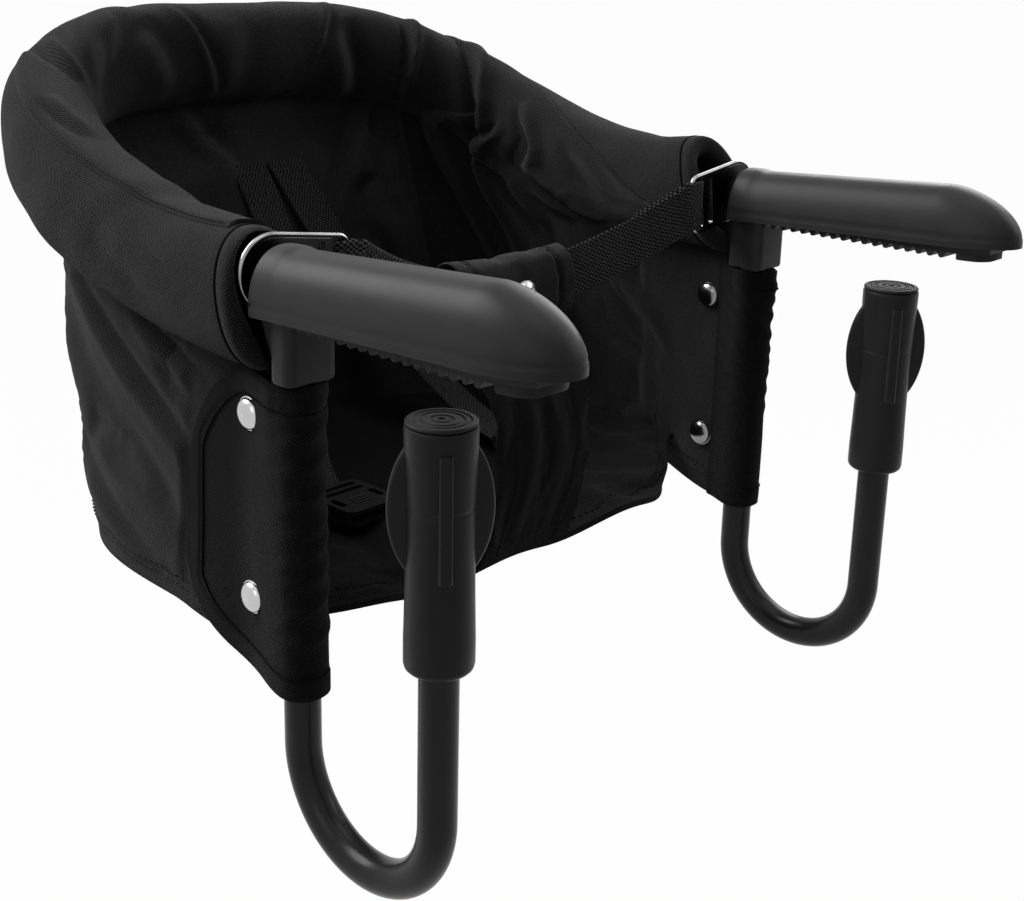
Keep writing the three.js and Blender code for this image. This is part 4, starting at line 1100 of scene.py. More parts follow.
@dataclass(frozen=True)
class Lining:
    """One side's lining: sewn to the collar along a seam, it comes over the roll and hangs to the wall."""

    front: float
    seam: tuple[Place, ...]
    back: tuple[Place, ...]
    feet: tuple[Place, ...]
    creases: tuple[Crease, ...]
    leave: float = -25.0
    over: float = 0.5
    columns: int = 110
    rows: int = 90

    def places(self) -> tuple[Array, Array]:
        """Lays the sheet on the collar's roll.

        Returns:
            Distance along the collar and angle round it of each point that lies on the roll.
        """
        share = np.linspace(0, 1, self.columns)[:, None]
        down = clamp01(np.linspace(0, 1, self.rows) / self.over)[None, :]
        seam, back = np.transpose(self.seam), np.transpose(self.back)
        top = np.interp(lerp(self.front, 0.19, share), *seam)
        angle = lerp(top, self.leave, down)
        return lerp(self.front, np.interp(angle, *back), share), angle

    def hang(self, roll: Array, walls: WallPlan) -> Array:
        """Lets the sheet hang from the roll.

        Args:
            roll: The points on the roll, columns by rows.
            walls: The bucket's walls.

        Returns:
            The sheet: on the roll down to where it leaves it, then in a curve to the wall.
        """
        along, _ = self.places()
        rows = np.linspace(0, 1, self.rows)[None, :, None]
        last = roll[:, -1:]
        slope = unit(last - roll[:, int(self.over * self.rows) - 6][:, None])
        stations = np.linspace(0, 1, 400)
        tops, feet = walls.top(stations), walls.foot(stations)
        station = np.interp(last[..., 1], tops[:, 1], stations)
        high, low = (np.stack([np.interp(station, stations, edge[:, k]) for k in range(3)], axis=-1)
                     for edge in (tops, feet))
        wall = unit(low - high)
        inward = unit(np.array([0.0, 0.12, 0.0]) - high * np.array([1.0, 1.0, 0.0]))
        drop = np.interp(along[:, -1:], *np.transpose(self.feet))[..., None]
        foot = high + wall * drop + inward * 0.0018
        reach = np.linalg.norm(foot - last, axis=2, keepdims=True)
        slack, ease = last + slope * 0.3 * reach, foot - wall * 0.35 * reach + inward * 0.10 * reach
        curve = bent(last, slack, ease, foot, clamp01((rows - self.over) / (1 - self.over)))
        return np.where(rows > self.over, curve, roll)

    def folded(self, grid: Array, seed: int) -> Array:
        """Adds folds and lumps.

        Args:
            grid: The plain sheet.
            seed: Pattern of its small lumps.

        Returns:
            The sheet with its folds, tucked in at its back edge.
        """
        u, v = laid_flat(grid)
        share = v / v.max()
        hanging = smooth((share - 0.25) / 0.25) * smooth((1 - share) / 0.15)
        push = (0.0012 * lumps(grid, 0.034, seed) + 0.0006 * lumps(grid, 0.013, seed + 1)) * hanging
        push = push + creased(self.creases, u, v)
        normal = sheet_normals(grid)
        if normal[..., 0].mean() < 0:
            normal = -normal
        on_roll = 1 - smooth((share - 0.35) / 0.2)
        tuck = -0.0045 * on_roll * (1 - smooth((u.max() - u) / 0.010)) - 0.0012 * (1 - smooth(v / 0.0035))
        return grid + normal * (push + tuck)[..., None]


@dataclass
class RimAssembly:
    """Bent rim tube, its padded collar and the two plates that hold the belt."""

    rim: RimPlan
    finishes: Finishes
    stations: int = 320
    around: int = 80
    half_width: float = 0.0235
    half_height: float = 0.0280
    drop: float = 0.0065
    power: float = 2.3
    mean_radius: float = 0.026
    hem: float = 0.006
    thread: float = 0.0006
    cuff_wall: float = 0.0026
    cuff_fill: float = 0.0095
    lead: float = 0.012
    sag: float = 0.0052
    sag_start: float = 0.03
    sag_run: float = 0.11
    cuff_depth: float = 0.026
    slant: float = 0.013
    slant_run: float = 0.070
    plate_y: float = 0.026
    plate_thickness: float = 0.0024
    eye_radius: float = 0.0150
    tab_reach: float = 0.038
    tab_height: float = 0.030
    slot_width: float = 0.0036
    slot_length: float = 0.0256
    slot_places: tuple[float, float] = (0.0326, 0.0241)
    flare: float = 0.0052
    recede: float = 0.0112
    plate_tilt: float = 8.0
    bead: float = 0.0015
    creases: tuple[Crease, ...] = (
        Crease((0.1965, 0.0240), (0.2315, 0.0520), 0.0060, 0.0042),
        Crease((0.1300, 0.0440), (0.1740, 0.0500), 0.0040, 0.0032),
        Crease((0.2586, 0.0408), (0.2134, 0.0140), -0.0030, 0.0055),
        Crease((0.2700, 0.0300), (0.2480, 0.0080), -0.0018, 0.0050),
        Crease((0.2960, 0.0260), (0.2180, -0.0040), 0.0062, 0.0100),
        Crease((0.2880, 0.0240), (0.3080, -0.0140), 0.0030, 0.0090),
        Crease((0.3130, 0.0380), (0.3370, -0.0220), 0.0040, 0.0034),
        Crease((0.3600, 0.0160), (0.3500, -0.0240), 0.0026, 0.0100),
        Crease((0.4290, 0.0360), (0.4040, -0.0100), 0.0034, 0.0030),
        Crease((0.4280, 0.0180), (0.4500, -0.0280), 0.0075, 0.0095),
        Crease((0.4840, -0.0220), (0.4715, 0.0360), 0.0075, 0.0042),
        Crease((0.5600, -0.0140), (0.5090, 0.0420), 0.0080, 0.0046),
        Crease((0.5700, -0.0300), (0.5440, 0.0100), 0.0050, 0.0046),
        Crease((0.0300, -0.0300), (0.0900, 0.0900), 0.0012, 0.0090),
        Crease((0.0300, 0.0980), (0.0900, 0.0760), 0.0018, 0.0080),
    )
    left_lining: Lining = Lining(
        front=0.0100,
        seam=((0.0068, 103.0), (0.0260, 108.0), (0.0542, 111.0), (0.0836, 118.0), (0.1129, 125.0),
              (0.1762, 127.0), (0.1965, 121.0), (0.2350, 112.0)),
        back=((-25.0, 0.203), (-10.0, 0.190), (0.0, 0.185), (59.0, 0.1965), (75.0, 0.2112), (88.0, 0.2191),
              (112.0, 0.2315), (127.0, 0.2350)),
        feet=((0.01, 0.012), (0.06, 0.030), (0.12, 0.060), (0.18, 0.080)),
        creases=(Crease((0.150, 0.085), (0.080, 0.140), 0.0042, 0.0060),
                 Crease((0.110, 0.080), (0.040, 0.125), 0.0036, 0.0055),
                 Crease((0.070, 0.085), (0.015, 0.120), 0.0030, 0.0050)))
    right_lining: Lining = Lining(
        front=0.0294,
        seam=((0.0294, -11.0), (0.0486, 5.0), (0.0667, 26.0), (0.0881, 43.0), (0.1084, 61.0), (0.1300, 85.0),
              (0.1700, 110.0), (0.2000, 121.0)),
        back=((-25.0, 0.203), (-18.0, 0.194), (-5.0, 0.180), (8.0, 0.1740), (31.0, 0.1864),
              (78.0, 0.2101), (121.0, 0.2350)),
        feet=((0.03, 0.010), (0.06, 0.022), (0.09, 0.040), (0.12, 0.060), (0.15, 0.078), (0.18, 0.090)),
        creases=(Crease((0.1319, 0.0700), (0.1500, 0.0400), 0.0044, 0.0036),
                 Crease((0.1060, 0.0760), (0.1380, 0.0640), 0.0040, 0.0036),
                 Crease((0.0930, 0.1040), (0.1110, 0.0680), 0.0052, 0.0048),
                 Crease((0.0940, 0.0660), (0.1260, 0.0260), 0.0060, 0.0054),
                 Crease((0.0600, 0.0720), (0.0980, 0.0590), 0.0050, 0.0044),
                 Crease((0.0400, 0.0880), (0.0700, 0.0670), 0.0044, 0.0040),
                 Crease((0.0560, 0.0900), (0.0900, 0.0740), 0.0030, 0.0036),
                 Crease((0.0350, 0.0500), (0.0800, 0.0200), 0.0022, 0.0090)))

    def build(self) -> None:
        """Builds the rim, the collar and both plates."""
        self.tube()
        self.collar()
        for side in Side:
            self.plate(side)

    def tube(self) -> None:
        """Builds the rim tube, from one arm's nose round to the other's."""
        arm = np.linspace(-self.rim.reach, self.rim.start, 24)[:-1]
        left = np.stack([np.full(23, -self.rim.half), arm, np.full(23, self.rim.level)], axis=1)
        surface = Surface()
        surface.rod(np.concatenate([left, self.rim.axis(200), left[::-1] * MIRROR]), UP, self.rim.tube, 28)
        dress(surface.build("rim_pipe"), self.finishes.tube, Slot.TUBE, SEAT, "rim_tube")

    def section(self, inset: float) -> tuple[Array, Array]:
        """Side and rise offsets of the collar's section, drawn in by an inset."""
        half_width, half_height = self.half_width - inset, self.half_height - inset
        across, height = soft_box(full_turn(self.around), half_width, half_height, self.power)
        return across, height - self.drop

    def padding(self, grid: Array, along: Array, round_it: Array) -> Array:
        """Lumps, creases and hems of the collar.

        Args:
            grid: The plain roll.
            along: Distance along it.
            round_it: Distance round it from its inner middle.

        Returns:
            How far the stuffed cloth stands out of the plain roll.
        """
        end = np.minimum(along, along.max() - along)
        push = 0.0016 * lumps(grid, 0.060, 3) + 0.0007 * lumps(grid, 0.021, 5)
        push = push + creased(self.creases, along, round_it)
        lower = round_it + math.radians(80) * self.mean_radius
        gather = lumps(np.stack([along, 0.25 * round_it, 0.0 * along], axis=-1), 0.0065, 9)
        push = push + 0.0011 * gather * bump(lower, 0.013)
        push = push * smooth(end / 0.030)
        return push - 0.0013 * bump(end - self.hem, 0.0011) + 0.0006 * bump(end - 0.004, 0.004)

    def stuffed(self, path: Array) -> tuple[Array, Array, Array]:
        """Sweeps the collar's section along the rim and stuffs it.

        Args:
            path: The rim's axis.

        Returns:
            The stuffed roll with plain ends, the directions out of it and the distances along it.
        """
        grid = swept(path, UP, *self.section(0.0))
        _, _, rise = frames_along(path, UP)
        outward = unit(grid - (path - self.drop * rise)[:, None])
        angle = full_turn(self.around)
        angle = np.where(angle > 1.25 * math.pi, angle - 2 * math.pi, angle)
        along, round_it = np.broadcast_arrays(reached(gaps(path))[:, None], angle * self.mean_radius)
        return grid + outward * self.padding(grid, along, round_it)[..., None], outward, along

    def end_moves(self) -> tuple[Array, Array, Array]:
        """Slant of the collar's open ends.

        Returns:
            How a ring's points move at both ends, at the right end and at the left end.
        """
        across, height = self.section(0.0)
        tall = (height + self.drop) / self.half_height
        lean = np.outer(clamp01(0.5 - tall / 2) ** 2, (0.0, -self.slant, 0.0))
        lift = np.outer(clamp01(tall) ** 2, (0.0, self.recede, self.flare))
        ahead = np.outer(clamp01(-across / self.half_width), (0.0, -self.lead, 0.0))
        return lean, lift, ahead

    def collar(self) -> None:
        """Builds the padded roll with its linings and open hemmed ends, and the thread of its seams,
        near-black as painted shade of the seam grooves.
        """
        path = self.rim.axis(self.stations)
        grid, outward, along = self.stuffed(path)
        lean, lift, ahead = self.end_moves()
        hang = np.array([0.0, 0.0, -self.sag])
        left, right = along[..., None], (along.max() - along)[..., None]
        grid = grid + (1 - smooth(np.minimum(left, right) / self.slant_run)) * lean
        grid = grid + (1 - smooth(right / self.slant_run)) * lift
        grid = grid + (1 - smooth(left / self.slant_run)) * ahead
        grid = grid + (1 - smooth((left - self.sag_start) / self.sag_run)) * hang
        fade = np.array([1.0, 1.0, 1.0, 1.0, 1.0, 0.65, 0.2, 0.0])[:, None, None]
        near_cuff = self.cuff(path[:2]) + fade * (lean + ahead + hang)
        far_cuff = self.cuff(path[:-3:-1], turned=True) + fade * (lean + lift)
        surface = Surface()
        surface.grid(np.concatenate([near_cuff[::-1], grid, far_cuff]), wrap=True)
        edges = []
        for side in Side:
            sheet = self.lining(side, grid, outward, along[:, 0])
            surface.cloth(sheet, 0.0016)
            edges.append(sheet[2:-2, 1] + np.array([0.0, 0.0, 0.0004]))
        for place in (self.hem, along.max() - self.hem):
            ring = int(np.argmin(np.abs(along[:, 0] - place)))
            hem = grid[ring] + outward[ring] * 0.0003
            edges.append(np.concatenate([hem, hem[:2]]))
        seams = Surface()
        for edge in edges:
            seams.rod(edge, UP, self.thread, 8)
        # The seam lines are real; their near-black colour is painted shade of the grooves.
        dress(seams.build("collar_seams", 60), self.finishes.thread, Slot.CANVAS, SEAT)
        piece = surface.build("collar_roll", 60)
        dress(piece, self.finishes.canvas, Slot.CANVAS, SEAT, "rim_collar")

    def lining(self, side: Side, roll: Array, outward: Array, along: Array) -> Array:
        """Lays one side's lining over the roll.

        Args:
            side: Which side's lining.
            roll: The stuffed roll's points.
            outward: Directions out of the roll there.
            along: Distance along the roll of its rings.

        Returns:
            The lining's middle sheet, in place.
        """
        plan = self.left_lining if side is Side.LEFT else self.right_lining
        lifted = roll + 0.0012 * outward
        if side is Side.RIGHT:
            lifted = lifted[::-1] * MIRROR
        place, angle = plan.places()
        i = np.interp(place, along, np.arange(len(along)))
        j = np.mod(angle, 360.0) / 360.0 * self.around
        i0, j0 = np.minimum(i.astype(int), len(along) - 2), j.astype(int) % self.around
        i1, j1 = i0 + 1, (j0 + 1) % self.around
        f, g = (i - i0)[..., None], (j - np.floor(j))[..., None]
        laid = lerp(lerp(lifted[i0, j0], lifted[i1, j0], f), lerp(lifted[i0, j1], lifted[i1, j1], f), g)
        sheet = plan.folded(plan.hang(laid, WallPlan(self.rim)), 13 + side.value)
        return sheet * MIRROR if side is Side.RIGHT else sheet

    def cuff(self, ends: Array, turned: bool = False) -> Array:
        """Turns in an open end of the collar.

        Args:
            ends: The axis's end point and its neighbour.
            turned: Whether it is the right end.

        Returns:
            Rings from the lip of the open end inwards to the tube.
        """
        inward = unit(ends[1] - ends[0])
        side = np.array([-1.0 if turned else 1.0, 0.0, 0.0])
        across, height = self.section(0.0)
        low = clamp01(0.5 - (height + self.drop) / (2 * self.half_height))
        fill = 0.9 if turned else low * clamp01(-across / self.half_width)
        wall = self.cuff_wall + self.cuff_fill * fill
        places = ((-0.0012, 0.14 * wall), (-0.0020, 0.40 * wall), (-0.0018, 0.65 * wall),
                  (-0.0006, 0.90 * wall), (0.0020, wall), (0.35 * self.cuff_depth, wall),
                  (self.cuff_depth, 1.3 * wall))
        sections = [(deep, *self.section(inset)) for deep, inset in places]
        sections.append((self.cuff_depth, *circle(self.rim.tube + 0.0004, self.around).T))
        return np.array([ends[0] + inward * deep + np.outer(across, side) + np.outer(height, UP)
                         for deep, across, height in sections])

    def plate(self, side: Side) -> None:
        """Builds a stamped plate: an eye on the rim and a tab with two slots.

        Args:
            side: Which arm's plate.
        """
        turn = np.linspace(math.pi / 2, 1.5 * math.pi, 28)
        eye = self.eye_radius * np.stack([np.cos(turn), np.sin(turn)], axis=1)
        tab = rounded_rectangle(self.tab_reach, self.tab_height, 0.004, (self.tab_reach / 2, 0.0))
        outline = np.concatenate([eye, tab[tab[:, 0] > self.tab_reach / 2][7:], tab[:7]])
        slot = (self.slot_width, self.slot_length, 0.0011)
        slots = [rounded_rectangle(*slot, (x, 0.0)) for x in self.slot_places]
        holes = [circle(self.rim.tube + 0.0004), *slots]
        flat = outline_solid(outline, holes, 0.0, self.plate_thickness, "plate_sheet")
        ring = np.concatenate([outline, outline[:2]])
        path = evenly(np.column_stack([ring, np.full(len(ring), self.plate_thickness / 2)]), 160)
        edge = Surface()
        edge.rod(path, UP, self.bead, 12)
        piece = joined(f"{side.word}_belt_plate", [flat, edge.build("plate_bead", 60)], 0.0005)
        turned = Matrix(((-side.value, 0, 0, side.value * self.rim.half), (0, 0, 1, self.plate_y),
                         (0, 1, 0, self.rim.level), (0, 0, 0, 1)))
        piece.data.transform(turned @ Matrix.Rotation(-math.radians(self.plate_tilt), 4, "Z"))
        if turned.to_3x3().determinant() < 0:
            piece.data.flip_normals()
        dress(piece, self.finishes.plate, Slot.PLATE, SEAT, f"{side.word}_strap_plate")


# Cloth bucket


@dataclass
class Bucket:
    """Walls, base and crotch panel of the cloth seat."""

    walls: WallPlan
    finishes: Finishes
    cloth: float = 0.0025
    hem: float = 0.012
    welt: float = 0.0023
    right_cut: float = 0.052
    left_cut: float = 0.010
    columns: int = 96
    rows: int = 60
    flap_edge: float = 0.084
    back_seam: float = 0.024
    left_creases: tuple[Crease, ...] = (
        Crease((0.160, 0.014), (0.050, 0.074), 0.0042, 0.0058),
        Crease((0.100, 0.014), (0.044, 0.034), 0.0034, 0.0044),
        Crease((0.215, 0.020), (0.075, 0.112), 0.0030, 0.0120),
        Crease((0.195, 0.104), (0.098, 0.140), 0.0032, 0.0060),
        Crease((0.225, 0.040), (0.170, 0.130), 0.0034, 0.0100),
        Crease((0.120, 0.075), (0.070, 0.110), 0.0022, 0.0080),
    )
    right_creases: tuple[Crease, ...] = (
        Crease((0.235, 0.030), (0.205, 0.130), 0.0060, 0.0110),
        Crease((0.205, 0.050), (0.175, 0.128), 0.0044, 0.0100),
        Crease((0.260, 0.060), (0.120, 0.122), 0.0036, 0.0120),
        Crease((0.150, 0.060), (0.050, 0.100), 0.0030, 0.0110),
        Crease((0.090, 0.030), (0.040, 0.080), 0.0026, 0.0080),
    )
    back_creases: tuple[Crease, ...] = (
        Crease((0.072, 0.008), (0.114, 0.052), 0.0040, 0.0060),
        Crease((0.050, 0.052), (0.114, 0.046), 0.0046, 0.0100),
        Crease((0.178, 0.088), (0.226, 0.002), 0.0075, 0.0062),
        Crease((0.196, 0.068), (0.220, 0.052), -0.0032, 0.0060),
        Crease((0.214, 0.030), (0.232, 0.002), -0.0030, 0.0050),
        Crease((0.120, 0.036), (0.195, 0.030), -0.0030, 0.0120),
        Crease((0.060, 0.060), (0.120, 0.160), 0.0030, 0.0120),
        Crease((0.220, 0.080), (0.180, 0.170), 0.0030, 0.0120),
    )
    base_creases: tuple[Crease, ...] = (
        Crease((0.020, 0.090), (0.120, 0.130), 0.0034, 0.010),
        Crease((0.010, 0.210), (0.110, 0.170), 0.0034, 0.010),
        Crease((0.004, 0.060), (0.060, 0.105), 0.0026, 0.007),
        Crease((0.004, 0.250), (0.070, 0.200), 0.0028, 0.008),
    )
    crotch_creases: tuple[Crease, ...] = (
        Crease((0.010, 0.016), (0.090, 0.020), 0.0032, 0.006),
        Crease((0.020, 0.040), (0.100, 0.034), 0.002, 0.007),
        Crease((0.060, 0.010), (0.100, 0.050), 0.0022, 0.007),
    )

    def build(self) -> None:
        """Builds every cloth panel of the bucket."""
        for side in Side:
            self.side_panel(side)
        self.back_panel()
        self.base()
        self.crotch_panel()

    def worn(self, grid: Array, creases: Sequence[Crease], held: Array, seed: int, slack: float,
             cap: float = 0.0035, still: Array | float = 0.0) -> Array:
        """Folds a panel and lets it settle.

        Args:
            grid: The plain panel.
            creases: Its drawn folds.
            held: How firmly each point is sewn down, 0 to 1.
            seed: Pattern of its small lumps.
            slack: Spare cloth that the simulation lets buckle.
            cap: Most that the simulation may move a point.
            still: Where the simulation's moves are left out, 0 to 1.

        Returns:
            The panel as it hangs in use.
        """
        push = 0.0011 * lumps(grid, 0.045, seed) + 0.0005 * lumps(grid, 0.016, seed + 1)
        push = push + creased(creases, *laid_flat(grid))
        moved = grid + sheet_normals(grid) * (push * (1 - held))[..., None]
        settled = Drape(slack, cap).settle(moved, (held > 0.5) * 1.0)
        return moved + (settled - moved) * (1 - np.maximum(held, still))[..., None]

    def side_panel(self, side: Side) -> None:
        """Builds a side wall with slanting folds and a stitched hem.

        Args:
            side: Which wall.
        """
        near = side is Side.LEFT
        plain = self.walls.grid(np.linspace(0.0, self.walls.corner, self.columns), self.rows)
        drop = np.linspace(0, 1, self.rows)[None, :]
        along = np.linspace(0, 1, self.columns)[:, None]
        fall, reach, sewn = (0.012, 0.075, 0.19) if near else (0.016, 0.095, 0.25)
        plain[..., 2] -= fall * (1 - smooth((plain[..., 1] - self.walls.front) / reach)) * drop ** 2
        held = most([1 - smooth(drop / 0.10), 1 - smooth((1 - drop) / 0.13),
                     1 - smooth((along - sewn) / 0.11), 1 - smooth((1 - along) / 0.05)])
        still = 1 - smooth((along - 0.30) / 0.14) + 0.0 * drop
        creases, seed, cap = (self.left_creases, 21, 0.0020) if near else (self.right_creases, 31, 0.0035)
        grid = self.worn(plain, creases, held, seed, 0.03, cap, still)
        spare = lerp(0.0003, 0.010, smooth((plain[..., 1] - self.flap_edge) / 0.020))
        grid[..., 0] = np.maximum(grid[..., 0], plain[..., 0] - spare)
        height = float(np.linalg.norm(grid[:, -1] - grid[:, 0], axis=1).mean())
        surface = Surface()
        surface.cloth(grid, self.cloth + 0.0009 * ((1 - drop) * height < self.hem) + 0.0 * along)
        normal = sheet_normals(grid)
        hem_row = int(self.rows * (1 - self.hem / height)) - 1
        for row in (hem_row, hem_row + 2):
            surface.sewn(grid[2:-2, row], normal[2:-2, row], self.cloth / 2 + 0.0003)
        surface.sewn(grid[-4, 2:-2], normal[-4, 2:-2], self.cloth / 2)
        if side is Side.RIGHT:
            surface.mirrored()
        piece = surface.build(f"{side.word}_wall_cloth", 60)
        dress(piece, self.finishes.canvas, Slot.CANVAS, SEAT, f"{side.word}_side_panel")

    def back_panel(self) -> None:
        """Builds the back wall: a padded crown, a seam under the roll and soft folds."""
        left = self.walls.grid(np.linspace(self.walls.corner, 1.0, 56), self.rows)
        grid = np.concatenate([left, left[-2::-1] * MIRROR])
        along = np.linspace(0, 1, len(grid))[:, None]
        drop = np.linspace(0, 1, self.rows)[None, :]
        outward = unit(grid * np.array([1.0, 1.0, 0.0]) - np.array([0.0, self.walls.straight, 0.0]))
        crown = self.walls.crown * np.sin(math.pi * along) * np.sin(math.pi * drop)
        grid = grid - outward * crown[..., None]
        held = most([1 - smooth(drop / 0.05), 1 - smooth((1 - drop) / 0.10),
                     1 - smooth(along / 0.06), 1 - smooth((1 - along) / 0.06)])
        under_straps = 1 - smooth((np.abs(grid[..., 0]) - 0.065) / 0.030)
        grid = self.worn(grid, self.back_creases, held, 41, 0.02, still=under_straps)
        height = float(np.linalg.norm(grid[:, -1] - grid[:, 0], axis=1).mean())
        normal = sheet_normals(grid)
        grid = grid + normal * (0.0012 * bump(drop * height - self.back_seam, 0.0022))[..., None]
        surface = Surface()
        surface.cloth(grid, self.cloth)
        for corner in (grid[0], grid[-1]):
            surface.rod(corner, ACROSS, self.welt, 14)
        seam = int(self.rows * self.back_seam / height)
        for row in (seam - 1, seam + 1):
            surface.sewn(grid[2:-2, row], normal[2:-2, row], self.cloth / 2)
        piece = surface.build("back_wall_cloth", 60)
        # The back wall takes the lighter copy of the canvas, painted light.
        dress(piece, self.finishes.back_canvas, Slot.CANVAS, SEAT, "back_panel")

    def base(self) -> None:
        """Builds the base cloth, slung between the walls, with a hem at the front."""
        across = np.linspace(-1, 1, 100)[None, :]
        share = np.linspace(0, 1, 90)[:, None]
        corner = smooth((np.abs(across) - 0.45) / 0.55) ** 2
        cut = np.where(across > 0, self.right_cut, self.left_cut) * corner
        wave = np.sin(2 * math.pi * 1.7 * across + 0.9)
        front = self.walls.base_front + cut + 0.0022 * (1 + wave)
        y = lerp(front, self.walls.depth - 0.006, share)
        x = self.walls.base_half(y) * across
        y = y + lerp(0.0052, 0.0024, across ** 2) * smooth((share - 0.85) / 0.15)
        droop = (0.0035 + 0.0025 * wave) * bump(share, 0.10) * smooth((1 - np.abs(across)) / 0.3)
        grid = np.stack([x, y, self.walls.base_level(x, y) - droop], axis=2)
        rim = np.minimum(1 - np.abs(across), (1 - share) * 1.4)
        held = 1 - smooth(np.minimum(rim, share * 3.0) / 0.12)
        grid = self.worn(grid, self.base_creases, held, 51, 0.02)
        surface = Surface()
        surface.cloth(grid, self.cloth + 0.0008 * (share < 0.055) + 0.0 * across)
        surface.sewn(grid[5, 2:-2], sheet_normals(grid)[5, 2:-2], self.cloth / 2 + 0.0003)
        piece = surface.build("base_cloth", 60)
        # The base takes the darker copy of the canvas, painted shade.
        dress(piece, self.finishes.dark_canvas, Slot.CANVAS, SEAT, "seat_base")
        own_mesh(piece)

    def crotch_panel(self) -> None:
        """Builds the panel from the base up to the padded sleeve, with bound edges."""
        rise = np.linspace(0, 1, 80)[:, None]
        across = np.linspace(-0.5, 0.5, 50)[None, :]
        width = lerp(0.062, 0.074, rise ** 4)
        x = -0.029 * (1 - rise) ** 1.6 + width * across
        y = lerp(0.00635, 0.046, rise ** 2) - 0.004 * np.sin(math.pi * rise) + 0.0 * across
        z = lerp(-self.walls.base_height, -0.0340, rise) + 0.0 * across
        grid = np.stack([x, y, z], axis=2)
        edge = (0.5 - np.abs(across)) * width
        held = np.maximum(1 - smooth(rise / 0.10), 1 - smooth((1 - rise) / 0.08))
        grid = self.worn(grid, self.crotch_creases, np.broadcast_to(held, edge.shape), 61, 0.02)
        surface = Surface()
        surface.cloth(grid, self.cloth + 0.0014 * smooth((0.0125 - edge) / 0.001))
        normal = sheet_normals(grid)
        for share, inset in product((-0.5, 0.5), (0.0110, 0.0018)):
            column = int(np.argmin(np.abs(across[0] - share * (1 - 2 * inset / 0.066))))
            surface.sewn(grid[2:-2, column], normal[2:-2, column], self.cloth / 2 + 0.0006)
        piece = surface.build("crotch_cloth", 60)
        # The crotch panel takes the darker copy of the canvas, painted shade.
        dress(piece, self.finishes.dark_canvas, Slot.CANVAS, SEAT, "crotch_panel")
        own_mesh(piece)


# Harness


